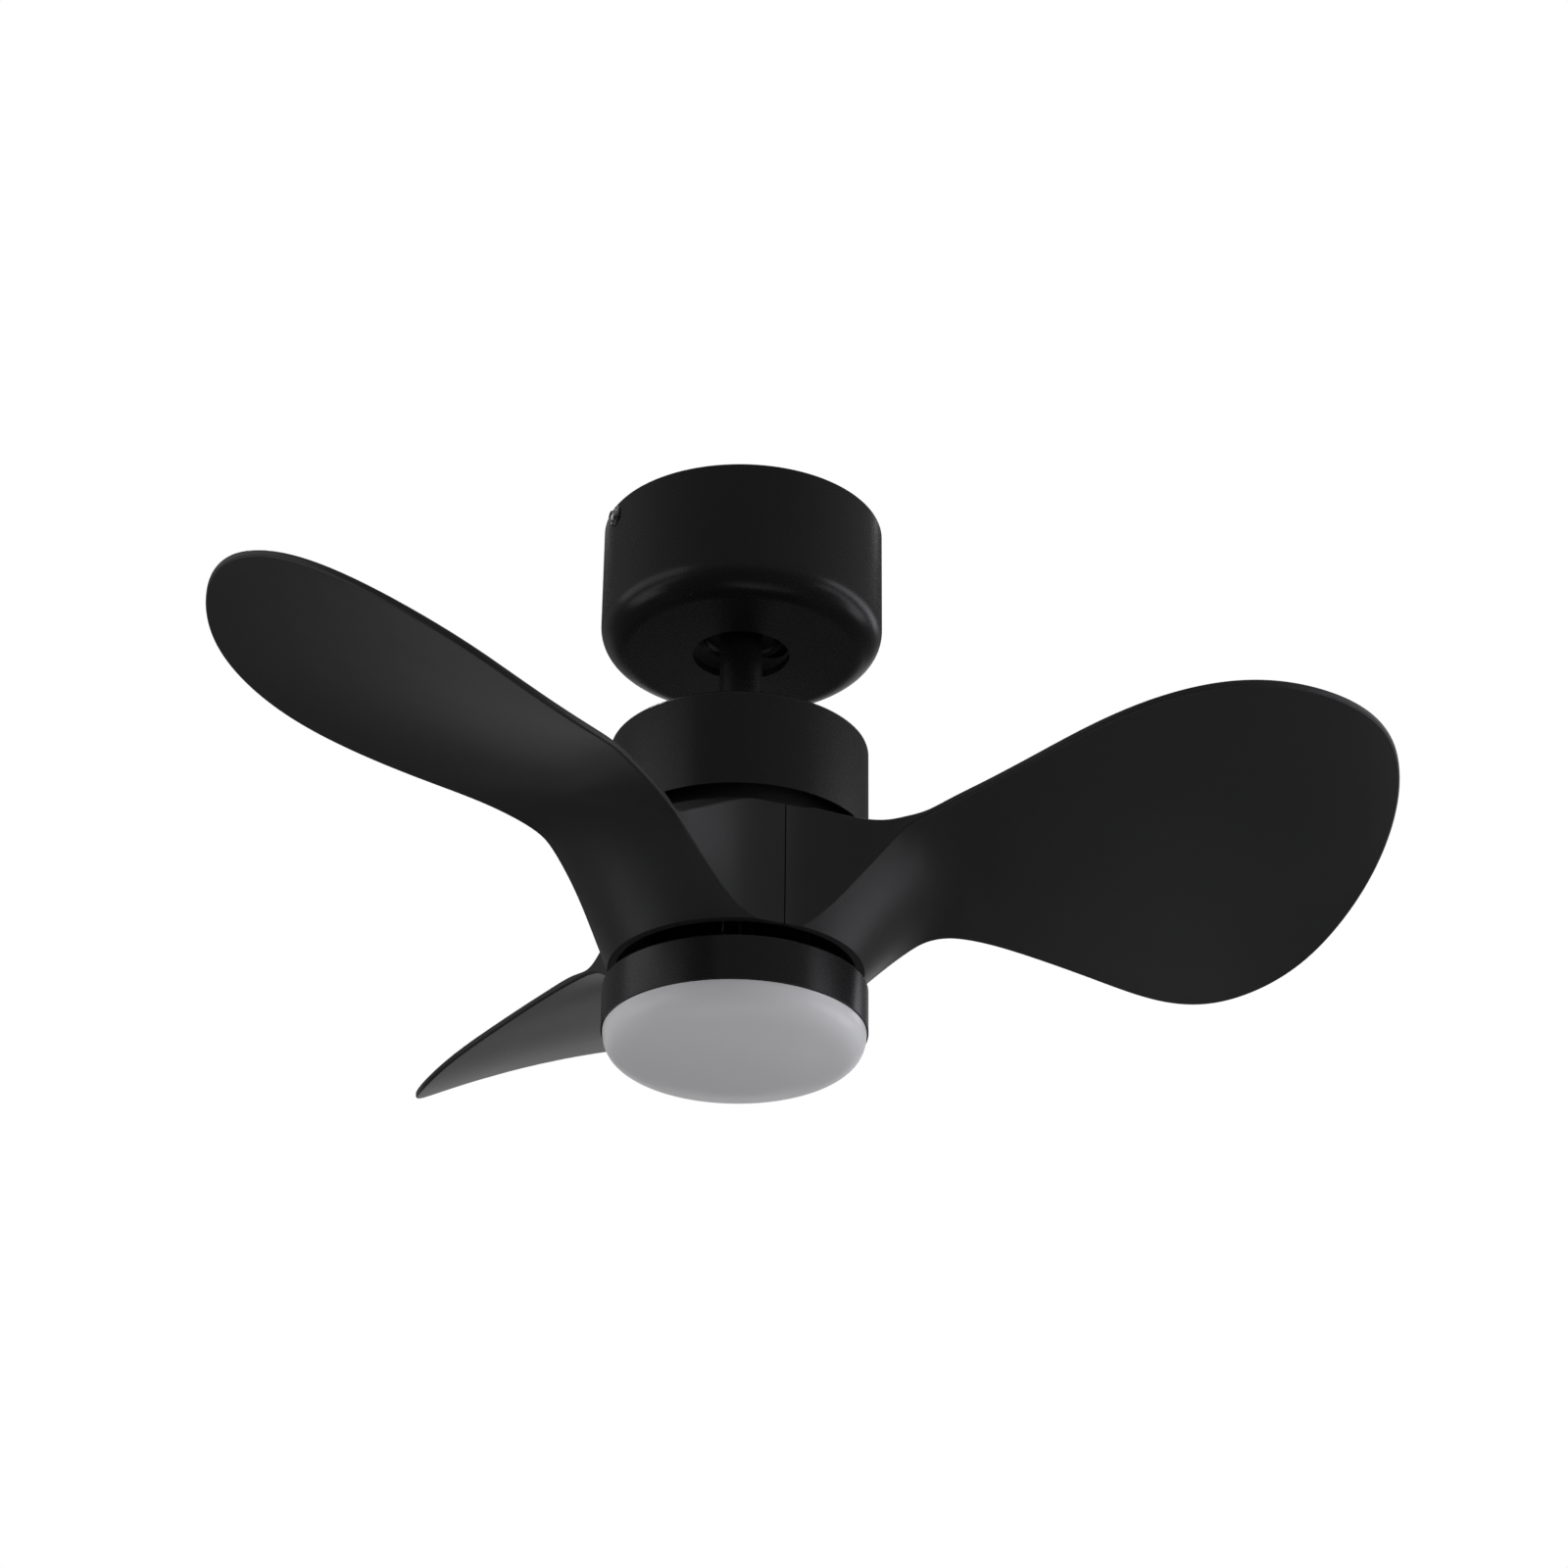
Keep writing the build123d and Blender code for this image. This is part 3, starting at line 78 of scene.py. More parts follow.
def newGroup(name, inputs, outputs, kind="ShaderNodeTree"):
    tree = bpy.data.node_groups.new(name, kind)
    for label, socketType, value in inputs:
        socket = tree.interface.new_socket(label, in_out="INPUT", socket_type=socketType)
        if value is not None:
            socket.default_value = value
    for label, socketType in outputs:
        tree.interface.new_socket(label, in_out="OUTPUT", socket_type=socketType)
    return tree, tree.nodes.new("NodeGroupInput"), tree.nodes.new("NodeGroupOutput")


def useGroup(tree, name, **values):
    node = tree.nodes.new("ShaderNodeGroup")
    node.node_tree = bpy.data.node_groups[name]
    for key, value in values.items():
        node.inputs[key.replace("_", " ")].default_value = value
    return node


decimal, whole = "NodeSocketFloat", "NodeSocketInt"


# grain of a sprayed or moulded skin: fine pimples plus slow drifts of gloss
def buildSkinGrain():
    tree, start, end = newGroup(
        "skinGrain",
        [("Grain Scale", decimal, 900.0), ("Drift Scale", decimal, 14.0),
         ("Rough Mid", decimal, 0.4), ("Rough Spread", decimal, 0.08)],
        [("Roughness", decimal), ("Height", decimal)])
    place = addNode(tree, "ShaderNodeTexCoord")
    grain = addNode(tree, "ShaderNodeTexNoise", {
        "Vector": place.outputs["Object"], "Scale": start.outputs["Grain Scale"]}, Detail=2.0)
    drift = addNode(tree, "ShaderNodeTexNoise", {
        "Vector": place.outputs["Object"], "Scale": start.outputs["Drift Scale"]}, Detail=3.0)
    centred = calc(tree, "SUBTRACT", calc(tree, "ADD", grain.outputs[0], drift.outputs[0]), 1.0)
    rough = calc(tree, "MULTIPLY_ADD", centred, start.outputs["Rough Spread"], start.outputs["Rough Mid"])
    tree.links.new(rough, end.inputs["Roughness"])
    tree.links.new(grain.outputs[0], end.inputs["Height"])


# slow drift between two near colours
def buildTintDrift():
    tree, start, end = newGroup(
        "tintDrift",
        [("Deep", "NodeSocketColor", (0, 0, 0, 1)), ("Pale", "NodeSocketColor", (1, 1, 1, 1)),
         ("Scale", decimal, 30.0)],
        [("Color", "NodeSocketColor")])
    place = addNode(tree, "ShaderNodeTexCoord")
    drift = addNode(tree, "ShaderNodeTexNoise", {
        "Vector": place.outputs["Object"], "Scale": start.outputs["Scale"]}, Detail=4.0)
    blend = addNode(tree, "ShaderNodeMix", data_type="RGBA")
    tree.links.new(drift.outputs[0], blend.inputs[0])
    tree.links.new(start.outputs["Deep"], blend.inputs[6])
    tree.links.new(start.outputs["Pale"], blend.inputs[7])
    tree.links.new(blend.outputs[2], end.inputs["Color"])


# fine lines left by rolling, turning or stacking; Stretch squeezes the noise along one axis
def buildDrawnLines():
    tree, start, end = newGroup(
        "drawnLines",
        [("Stretch", "NodeSocketVector", (1.0, 1.0, 40.0)), ("Scale", decimal, 60.0),
         ("Rough Mid", decimal, 0.3), ("Rough Spread", decimal, 0.15)],
        [("Roughness", decimal), ("Height", decimal)])
    place = addNode(tree, "ShaderNodeTexCoord")
    squeeze = addNode(tree, "ShaderNodeVectorMath", {
        0: place.outputs["Object"], 1: start.outputs["Stretch"]}, operation="MULTIPLY")
    lines = addNode(tree, "ShaderNodeTexNoise", {
        "Vector": squeeze.outputs[0], "Scale": start.outputs["Scale"]}, Detail=3.0)
    centred = calc(tree, "SUBTRACT", lines.outputs[0], 0.5)
    rough = calc(tree, "MULTIPLY_ADD", centred, start.outputs["Rough Spread"], start.outputs["Rough Mid"])
    tree.links.new(rough, end.inputs["Roughness"])
    tree.links.new(lines.outputs[0], end.inputs["Height"])


buildSkinGrain()
buildTintDrift()
buildDrawnLines()


# one finish: drifting colour, grained or lined skin, and a bump of (strength, distance in metres)
def makeFinish(name, tint, skin, bump, **sockets):
    material = bpy.data.materials.new(name)
    material.use_nodes = True
    tree = material.node_tree
    shader = tree.nodes["Principled BSDF"]
    for key, value in sockets.items():
        shader.inputs[key.replace("_", " ")].default_value = value
    colour = useGroup(tree, "tintDrift", **tint)
    tree.links.new(colour.outputs["Color"], shader.inputs["Base Color"])
    surface = useGroup(tree, skin["group"], **{k: v for k, v in skin.items() if k != "group"})
    tree.links.new(surface.outputs["Roughness"], shader.inputs["Roughness"])
    relief = addNode(tree, "ShaderNodeBump", {"Height": surface.outputs["Height"]},
                     Strength=bump[0], Distance=bump[1])
    tree.links.new(relief.outputs["Normal"], shader.inputs["Normal"])
    return material


# near-grey colour, a little warmer or cooler than plain grey
def tone(level, warm=0.0):
    return (level * (1 + warm), level, level * (1 - warm), 1.0)


slotFinish = {
    "black_paint": makeFinish(
        "satinBlackPaint",
        {"Deep": tone(0.0078, -0.03), "Pale": tone(0.0104, -0.03), "Scale": 22.0},
        {"group": "skinGrain", "Grain_Scale": 1500.0, "Drift_Scale": 18.0,
         "Rough_Mid": 0.27, "Rough_Spread": 0.10},
        (0.10, 0.0002), Specular_IOR_Level=0.5),
    "black_plastic": makeFinish(
        "blackMoulding",
        {"Deep": tone(0.0180, -0.02), "Pale": tone(0.0220, -0.02), "Scale": 12.0},
        {"group": "skinGrain", "Grain_Scale": 2200.0, "Drift_Scale": 9.0,
         "Rough_Mid": 0.37, "Rough_Spread": 0.10},
        (0.12, 0.00015), Specular_IOR_Level=0.5),
    "zinc_steel": makeFinish(
        "zincPlate",
        {"Deep": tone(0.50, 0.02), "Pale": tone(0.66, -0.01), "Scale": 90.0},
        {"group": "skinGrain", "Grain_Scale": 400.0, "Drift_Scale": 60.0,
         "Rough_Mid": 0.36, "Rough_Spread": 0.25},
        (0.08, 0.0002), Metallic=1.0),
    "bright_steel": makeFinish(
        "brightSteel",
        {"Deep": tone(0.60), "Pale": tone(0.72), "Scale": 200.0},
        {"group": "drawnLines", "Stretch": (1.0, 1.0, 30.0), "Scale": 120.0,
         "Rough_Mid": 0.16, "Rough_Spread": 0.14},
        (0.06, 0.0001), Metallic=1.0),
    # alloy parts in the gap between motor housing and hub, darkened to near-black: painted shade of that
    # gap
    "cast_alloy": makeFinish(
        "nearBlackAlloyAsGapShade",
        {"Deep": tone(0.018), "Pale": tone(0.030), "Scale": 70.0},
        {"group": "skinGrain", "Grain_Scale": 700.0, "Drift_Scale": 40.0,
         "Rough_Mid": 0.62, "Rough_Spread": 0.2},
        (0.25, 0.0004), Metallic=0.3),
    "bare_alloy": makeFinish(
        "bareAlloy",
        {"Deep": tone(0.68), "Pale": tone(0.78), "Scale": 80.0},
        {"group": "drawnLines", "Stretch": (1.0, 1.0, 25.0), "Scale": 90.0,
         "Rough_Mid": 0.32, "Rough_Spread": 0.2},
        (0.10, 0.0002), Metallic=1.0),
    "core_steel": makeFinish(
        "stackedSteel",
        {"Deep": tone(0.20, 0.02), "Pale": tone(0.30), "Scale": 120.0},
        {"group": "drawnLines", "Stretch": (1.0, 1.0, 60.0), "Scale": 40.0,
         "Rough_Mid": 0.45, "Rough_Spread": 0.3},
        (0.5, 0.0004), Metallic=0.9),
    "magnet": makeFinish(
        "sinteredMagnet",
        {"Deep": tone(0.09), "Pale": tone(0.14), "Scale": 150.0},
        {"group": "skinGrain", "Grain_Scale": 1200.0, "Drift_Scale": 60.0,
         "Rough_Mid": 0.55, "Rough_Spread": 0.2},
        (0.2, 0.0003), Metallic=0.5),
    "enamelled_wire": makeFinish(
        "enamelledWire",
        {"Deep": (0.42, 0.15, 0.05, 1), "Pale": (0.62, 0.27, 0.11, 1), "Scale": 160.0},
        {"group": "skinGrain", "Grain_Scale": 1500.0, "Drift_Scale": 120.0,
         "Rough_Mid": 0.28, "Rough_Spread": 0.15},
        (0.05, 0.0001), Metallic=0.85, Coat_Weight=0.6),
    "clamp_brass": makeFinish(
        "clampBrass",
        {"Deep": (0.62, 0.43, 0.17, 1), "Pale": (0.78, 0.58, 0.28, 1), "Scale": 140.0},
        {"group": "drawnLines", "Stretch": (1.0, 1.0, 20.0), "Scale": 120.0,
         "Rough_Mid": 0.3, "Rough_Spread": 0.2},
        (0.08, 0.0001), Metallic=1.0),
    "white_plastic": makeFinish(
        "whiteNylon",
        {"Deep": (0.74, 0.74, 0.71, 1), "Pale": (0.84, 0.84, 0.82, 1), "Scale": 40.0},
        {"group": "skinGrain", "Grain_Scale": 1800.0, "Drift_Scale": 30.0,
         "Rough_Mid": 0.5, "Rough_Spread": 0.12},
        (0.12, 0.0002)),
    "opal": makeFinish(
        "frostedOpal",
        {"Deep": (0.690, 0.690, 0.715, 1), "Pale": (0.750, 0.750, 0.775, 1), "Scale": 10.0},
        {"group": "skinGrain", "Grain_Scale": 2600.0, "Drift_Scale": 12.0,
         "Rough_Mid": 0.25, "Rough_Spread": 0.10},
        (0.10, 0.0001), Subsurface_Weight=0.25, Subsurface_Scale=0.002,
        Subsurface_Radius=(1.0, 1.0, 1.0)),
    "lamp_phosphor": makeFinish(
        "lampPhosphor",
        {"Deep": (0.80, 0.62, 0.12, 1), "Pale": (0.93, 0.80, 0.28, 1), "Scale": 500.0},
        {"group": "skinGrain", "Grain_Scale": 3000.0, "Drift_Scale": 200.0,
         "Rough_Mid": 0.3, "Rough_Spread": 0.1},
        (0.1, 0.0001)),
}

for node, slot in slotOf.items():
    slots = nodes[node].data.materials
    slots.clear()
    slots.append(slotFinish[slot])
print("finishes laid on:", len(slotFinish))


# copies of one piece on a circle about the fan's axis, singly or in pairs, leaned out from upright
def buildPieceRing():
    tree, start, end = newGroup(
        "pieceRing",
        [("Piece", "NodeSocketObject", None), ("Count", whole, 3), ("Pair", whole, 1),
         ("Circle", decimal, 0.02), ("Height", decimal, 0.0), ("Start Angle", decimal, 0.0),
         ("Pair Angle", decimal, 0.0), ("Lean", decimal, 0.0), ("Finish", "NodeSocketMaterial", None)],
        [("Geometry", "NodeSocketGeometry")], "GeometryNodeTree")
    take = start.outputs
    index = addNode(tree, "GeometryNodeInputIndex").outputs[0]
    step = calc(tree, "DIVIDE", calc(tree, "MULTIPLY", take["Pair"], math.tau), take["Count"])
    spoke = calc(tree, "FLOOR", calc(tree, "DIVIDE", index, take["Pair"]))
    second = calc(tree, "MULTIPLY", calc(tree, "MODULO", index, take["Pair"]), take["Pair Angle"])
    angle = calc(tree, "ADD", calc(tree, "MULTIPLY_ADD", spoke, step, second), take["Start Angle"])
    reach = addNode(tree, "ShaderNodeCombineXYZ", {"X": take["Circle"], "Z": take["Height"]})
    spot = addNode(tree, "ShaderNodeVectorRotate", {"Vector": reach.outputs[0], "Angle": angle},
                   rotation_type="Z_AXIS")
    facing = addNode(tree, "ShaderNodeCombineXYZ", {"Y": take["Lean"], "Z": angle})
    turned = addNode(tree, "FunctionNodeEulerToRotation", {0: facing.outputs[0]})
    points = addNode(tree, "GeometryNodePoints", {"Count": take["Count"], "Position": spot.outputs[0]})
    master = addNode(tree, "GeometryNodeObjectInfo", {"Object": take["Piece"]})
    copies = addNode(tree, "GeometryNodeInstanceOnPoints", {
        "Points": points.outputs[0], "Instance": master.outputs["Geometry"], "Rotation": turned.outputs[0]})
    solid = addNode(tree, "GeometryNodeRealizeInstances", {0: copies.outputs[0]})
    dressed = addNode(tree, "GeometryNodeSetMaterial", {
        "Geometry": solid.outputs[0], "Material": take["Finish"]})
    tree.links.new(dressed.outputs[0], end.inputs[0])


buildPieceRing()


def showObject(name, mesh):
    piece = bpy.data.objects.new(name, mesh)
    scene.collection.objects.link(piece)
    return piece


sharpAngle = 38.0                                                # degrees; edges past it stay crisp


# runs a tree on an empty mesh and keeps the result as a plain mesh
def runTree(treeName, name, values):
    holder = showObject(name + "Holder", bpy.data.meshes.new(name + "Holder"))
    modifier = holder.modifiers.new(treeName, "NODES")
    modifier.node_group = bpy.data.node_groups[treeName]
    for item in modifier.node_group.interface.items_tree:
        if item.item_type == "SOCKET" and item.in_out == "INPUT":
            modifier[item.identifier] = values[item.name]
    seen = holder.evaluated_get(bpy.context.evaluated_depsgraph_get())
    mesh = bpy.data.meshes.new_from_object(seen)
    mesh.name = name
    bpy.data.objects.remove(holder)
    mesh.polygons.foreach_set("use_smooth", [True] * len(mesh.polygons))
    mesh.set_sharp_from_angle(angle=math.radians(sharpAngle))
    return mesh


# stands a finished mesh in for a CAD node, on the same body and in the same finish
def standIn(node, name, mesh, body):
    piece = showObject(name, mesh)
    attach(piece, body)
    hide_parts(node)


axisTouch = 1e-7                                                 # metres; a smaller radius is one point


# turned shape about Z; the profile is (radius, height) from bottom to top on the outside
def turnedMesh(name, profile, segments, closed=False):
    shape = bmesh.new()
    rings = []
    for radius, height in profile:
        spots = segments if radius > axisTouch else 1
        rings.append([shape.verts.new((radius * math.cos(k * math.tau / segments),
                                       radius * math.sin(k * math.tau / segments), height))
                      for k in range(spots)])
    for low, high in zip(rings, rings[1:] + rings[:1] if closed else rings[1:]):
        for k in range(segments):
            corners = (low[k % len(low)], low[(k + 1) % len(low)],
                       high[(k + 1) % len(high)], high[k % len(high)])
            shape.faces.new(list(dict.fromkeys(corners)))
    mesh = bpy.data.meshes.new(name)
    shape.to_mesh(mesh)
    shape.free()
    return mesh


# plus-shaped prism that cuts the driver recess
def crossMesh(name, arm, width, low, high):
    shape = bmesh.new()
    corners = []
    for quarter in range(4):
        swing = Matrix.Rotation(quarter * math.pi / 2, 4, "Z")
        for x, y in ((arm, -width), (arm, width), (width, width)):
            corners.append(shape.verts.new(swing @ Vector((x / 2, y / 2, low))))
    base = shape.faces.new(corners)
    raised = bmesh.ops.extrude_face_region(shape, geom=[base])
    bmesh.ops.translate(shape, vec=(0, 0, high - low),
                        verts=[v for v in raised["geom"] if isinstance(v, bmesh.types.BMVert)])
    bmesh.ops.recalc_face_normals(shape, faces=shape.faces)
    mesh = bpy.data.meshes.new(name)
    shape.to_mesh(mesh)
    shape.free()
    return mesh


# pitch in metres, the depths, sides and arms as shares of the screw's own sizes
screwShape = {"pitch": 0.0008, "threadDepth": 0.16, "headSide": 0.42, "domeSteps": 6,
              "crossArm": 1.15, "crossWidth": 0.30, "crossDepth": 0.62, "segments": 28}


# one screw with a domed head above z = 0 and a threaded shank below it
def makeScrew(name, look):
    headR, headH, shankR, length = look["headR"], look["headH"], look["shankR"], look["length"]
    turns = int(length / screwShape["pitch"])
    root = shankR * (1 - screwShape["threadDepth"])
    profile = [(0, -length), (root, -length)]
    for turn in range(turns):
        foot = -length + turn * length / turns
        profile += [(shankR, foot + 0.5 * length / turns), (root, foot + length / turns)]
    side = screwShape["headSide"] * headH
    profile += [(headR, 0), (headR, side)]
    for step in range(1, screwShape["domeSteps"] + 1):
        rise = step / screwShape["domeSteps"] * math.pi / 2
        profile.append((headR * math.cos(rise), side + (headH - side) * math.sin(rise)))
    screw = showObject(name + "Master", turnedMesh(name + "Master", profile, screwShape["segments"]))
    cross = showObject(name + "Cross", crossMesh(
        name + "Cross", screwShape["crossArm"] * headR, screwShape["crossWidth"] * headR,
        headH * (1 - screwShape["crossDepth"]), 2 * headH))
    cut = screw.modifiers.new("recess", "BOOLEAN")
    cut.object, cut.operation, cut.solver = cross, "DIFFERENCE", "EXACT"
    seen = screw.evaluated_get(bpy.context.evaluated_depsgraph_get())
    mesh = bpy.data.meshes.new_from_object(seen)
    bpy.data.objects.remove(screw)
    bpy.data.objects.remove(cross)
    return showObject(name + "Master", mesh)


# each set's own sizes in metres and angles in degrees; seats come from the CAD boxes
screwSets = {
    "canopy_screws": {
        "name": "canopyScrews", "body": "mount", "faces": "out", "count": 2, "start": 0.0,
        "headR": 0.0036, "headH": 0.0026, "shankR": 0.0020, "length": 0.0090},
    "housing_screws": {
        "name": "housingScrews", "body": "hanging", "faces": "up", "count": 3, "start": 0.0,
        "circle": 0.0226, "headR": 0.0035, "headH": 0.0026, "shankR": 0.0020, "length": 0.0075},
    "rotor_screws": {
        "name": "rotorScrews", "body": "rotor", "faces": "up", "count": 6, "start": 0.0,
        "circle": 0.0545, "headR": 0.0024, "headH": 0.0022, "shankR": 0.0015, "length": 0.0120},
    "carrier_screws": {
        "name": "carrierScrews", "body": "rotor", "faces": "down", "count": 4, "start": 0.0,
        "circle": 0.0280, "headR": 0.0036, "headH": 0.0028, "shankR": 0.0020, "length": 0.0172},
    "blade_screws": {
        "name": "bladeScrews", "body": "rotor", "faces": "down", "count": 6, "start": -61.0,
        "pair": 2, "pairAngle": 56.0,
        "circle": 0.0490, "headR": 0.0038, "headH": 0.0028, "shankR": 0.0020, "length": 0.0095},
    "board_screws": {
        "name": "boardScrews", "body": "hanging", "faces": "down", "count": 3, "start": 30.0,
        "circle": 0.0460, "headR": 0.0028, "headH": 0.0018, "shankR": 0.0015, "length": 0.0106},
}
leans = {"up": 0.0, "out": math.pi / 2, "down": math.pi}

for node, look in screwSets.items():
    low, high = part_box(node)
    seats = {"up": high[2] - look["headH"], "down": low[2] + look["headH"],
             "out": (low[2] + high[2]) / 2}
    screw = makeScrew(look["name"], look)
    mesh = runTree("pieceRing", look["name"], {
        "Piece": screw, "Count": look["count"], "Pair": look.get("pair", 1),
        "Circle": look.get("circle", high[0] - look["headH"]), "Height": seats[look["faces"]],
        "Start Angle": math.radians(look["start"]), "Pair Angle": math.radians(look.get("pairAngle", 0.0)),
        "Lean": leans[look["faces"]], "Finish": slotFinish[slotOf[node]]})
    bpy.data.objects.remove(screw)
    standIn(node, look["name"], mesh, look["body"])
print("screws driven in:", len(screwSets), "sets")

washerLook = {"count": 2, "bore": 0.0022, "plate": 0.0044, "thick": 0.0005, "segments": 48,
              "teeth": 16, "toothReach": 0.0020, "toothWidth": 0.0012, "toothTaper": 0.7,
              "toothTwist": 16.0, "sunk": 1.2}                   # sunk: thicknesses below the CAD face


# toothed lock washer under each canopy screw: a flat ring with twisted teeth round it
def makeWashers(look):
    low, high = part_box("canopy_washers")
    finish = slotFinish[slotOf["canopy_washers"]]
    seat = (high[1] - low[1]) / 2                                # outer radius, read from the CAD washer
    plate = turnedMesh("washerPlate", [(look["bore"], 0), (look["plate"], 0),
                                       (look["plate"], look["thick"]), (look["bore"], look["thick"])],
                       look["segments"], closed=True)
    shape = bmesh.new()
    bmesh.ops.create_cube(shape, size=1.0)
    bmesh.ops.scale(shape, vec=(look["toothReach"], look["toothWidth"], look["thick"]), verts=shape.verts)
    for corner in shape.verts:
        if corner.co.x > 0:
            corner.co.y *= look["toothTaper"]                    # the tooth narrows outwards
    twist = Matrix.Rotation(math.radians(look["toothTwist"]), 3, "X")
    bmesh.ops.rotate(shape, matrix=twist, verts=shape.verts)
    toothMesh = bpy.data.meshes.new("washerTooth")
    shape.to_mesh(toothMesh)
    shape.free()
    tooth = showObject("washerTooth", toothMesh)
    teeth = runTree("pieceRing", "washerTeeth", {
        "Piece": tooth, "Count": look["teeth"], "Pair": 1, "Circle": seat - look["toothReach"] / 2,
        "Height": look["thick"] / 2, "Start Angle": 0.0, "Pair Angle": 0.0, "Lean": leans["up"],
        "Finish": finish})
    joined = bmesh.new()
    joined.from_mesh(plate)
    joined.from_mesh(teeth)
    joined.to_mesh(plate)
    joined.free()
    washer = showObject("washerMaster", plate)
    mesh = runTree("pieceRing", "canopyWashers", {
        "Piece": washer, "Count": look["count"], "Pair": 1,
        "Circle": high[0] - look["sunk"] * look["thick"], "Height": (low[2] + high[2]) / 2,
        "Start Angle": 0.0, "Pair Angle": 0.0, "Lean": leans["out"], "Finish": finish})
    bpy.data.objects.remove(tooth)
    bpy.data.objects.remove(washer)
    standIn("canopy_washers", "canopyWashers", mesh, "mount")


makeWashers(washerLook)
print("washers set")

coilLook = {"coils": 12, "layers": 2, "turns": 17, "steps": 16, "width": 0.0124, "inner": 0.0270,
            "wire": 0.00092, "wireSides": 6, "corner": 0.38}


# wire laid turn by turn round each tooth of the stator, in layers
def buildCoilSet(look):
    tree, start, end = newGroup(
        "coilSet",
        [("Coils", whole, 12), ("Turns", whole, 16), ("Steps", whole, 16),
         ("Inner Radius", decimal, 0.027), ("Length", decimal, 0.016),
         ("Width", decimal, 0.012), ("Height", decimal, 0.024),
         ("Wire", decimal, 0.001), ("Corner", decimal, 0.4), ("Middle", decimal, 0.0),
         ("Finish", "NodeSocketMaterial", None)],
        [("Geometry", "NodeSocketGeometry")], "GeometryNodeTree")
    take = start.outputs
    index = addNode(tree, "GeometryNodeInputIndex").outputs[0]
    turn = calc(tree, "DIVIDE", index, take["Steps"])
    swing = calc(tree, "MULTIPLY", turn, math.tau)
    along = calc(tree, "MULTIPLY_ADD", calc(tree, "DIVIDE", turn, take["Turns"]),
                 take["Length"], take["Inner Radius"])
    wire = addNode(tree, "GeometryNodeCurvePrimitiveCircle", Resolution=look["wireSides"])
    tree.links.new(calc(tree, "MULTIPLY", take["Wire"], 0.5), wire.inputs["Radius"])
    together = addNode(tree, "GeometryNodeJoinGeometry")

    def squared(wave, size, inset):
        bow = calc(tree, wave, swing)
        flat = calc(tree, "POWER", calc(tree, "ABSOLUTE", bow), take["Corner"])
        half = calc(tree, "MULTIPLY", calc(tree, "SUBTRACT", size, inset), 0.5)
        return calc(tree, "MULTIPLY", calc(tree, "MULTIPLY", calc(tree, "SIGN", bow), flat), half)

    for layer in range(look["layers"]):
        inset = calc(tree, "MULTIPLY", take["Wire"], 2.0 * layer + 1.0)
        path = addNode(tree, "ShaderNodeCombineXYZ", {
            "X": along, "Y": squared("COSINE", take["Width"], inset),
            "Z": calc(tree, "ADD", squared("SINE", take["Height"], inset), take["Middle"])})
        line = addNode(tree, "GeometryNodeMeshLine")
        tree.links.new(calc(tree, "MULTIPLY", take["Turns"], take["Steps"]), line.inputs["Count"])
        laid = addNode(tree, "GeometryNodeSetPosition", {
            "Geometry": line.outputs[0], "Position": path.outputs[0]})
        run = addNode(tree, "GeometryNodeMeshToCurve", {0: laid.outputs[0]})
        tube = addNode(tree, "GeometryNodeCurveToMesh", {
            "Curve": run.outputs[0], "Profile Curve": wire.outputs[0]}, Fill_Caps=True)
        tree.links.new(tube.outputs[0], together.inputs[0])
    points = addNode(tree, "GeometryNodePoints", {"Count": take["Coils"]})
    spread = calc(tree, "DIVIDE", calc(tree, "MULTIPLY", index, math.tau), take["Coils"])
    facing = addNode(tree, "ShaderNodeCombineXYZ", {"Z": spread})
    turned = addNode(tree, "FunctionNodeEulerToRotation", {0: facing.outputs[0]})
    copies = addNode(tree, "GeometryNodeInstanceOnPoints", {
        "Points": points.outputs[0], "Instance": together.outputs[0], "Rotation": turned.outputs[0]})
    solid = addNode(tree, "GeometryNodeRealizeInstances", {0: copies.outputs[0]})
    dressed = addNode(tree, "GeometryNodeSetMaterial", {
        "Geometry": solid.outputs[0], "Material": take["Finish"]})
    tree.links.new(dressed.outputs[0], end.inputs[0])


# the coils fill the CAD winding's box, half a wire inside it
def makeWindings(look):
    low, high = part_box("stator_windings")
    mesh = runTree("coilSet", "statorTurns", {
        "Coils": look["coils"], "Turns": look["turns"], "Steps": look["steps"],
        "Inner Radius": look["inner"] + look["wire"] / 2,
        "Length": high[0] - look["inner"] - look["wire"],
        "Width": look["width"], "Height": high[2] - low[2], "Wire": look["wire"], "Corner": look["corner"],
        "Middle": (low[2] + high[2]) / 2, "Finish": slotFinish[slotOf["stator_windings"]]})
    standIn("stator_windings", "statorTurns", mesh, "hanging")
    print("windings laid:", len(mesh.polygons), "faces")


buildCoilSet(coilLook)
makeWindings(coilLook)

# camera where the photograph was taken from; the aim shows at aimPixel
cameraLook = {
    "azimuth": -24.6, "elevation": -28.14, "roll": 1.03, "distance": 1.8254,
    "aim": (0.0, 0.0, -0.1275),                                  # top of the motor drum, on the axis
    "aimPixel": (754.6, 767.2), "frameWidth": 1600.0, "focalPixels": 3650.0,
    "sensor": 36.0, "clip": (0.05, 100.0),
}


# point at a distance from the aim, by its azimuth and elevation in degrees
def aroundAim(azimuth, elevation, distance):
    a, e = math.radians(azimuth), math.radians(elevation)
    away = Vector((math.sin(a) * math.cos(e), -math.cos(a) * math.cos(e), math.sin(e)))
    return Vector(cameraLook["aim"]) + distance * away


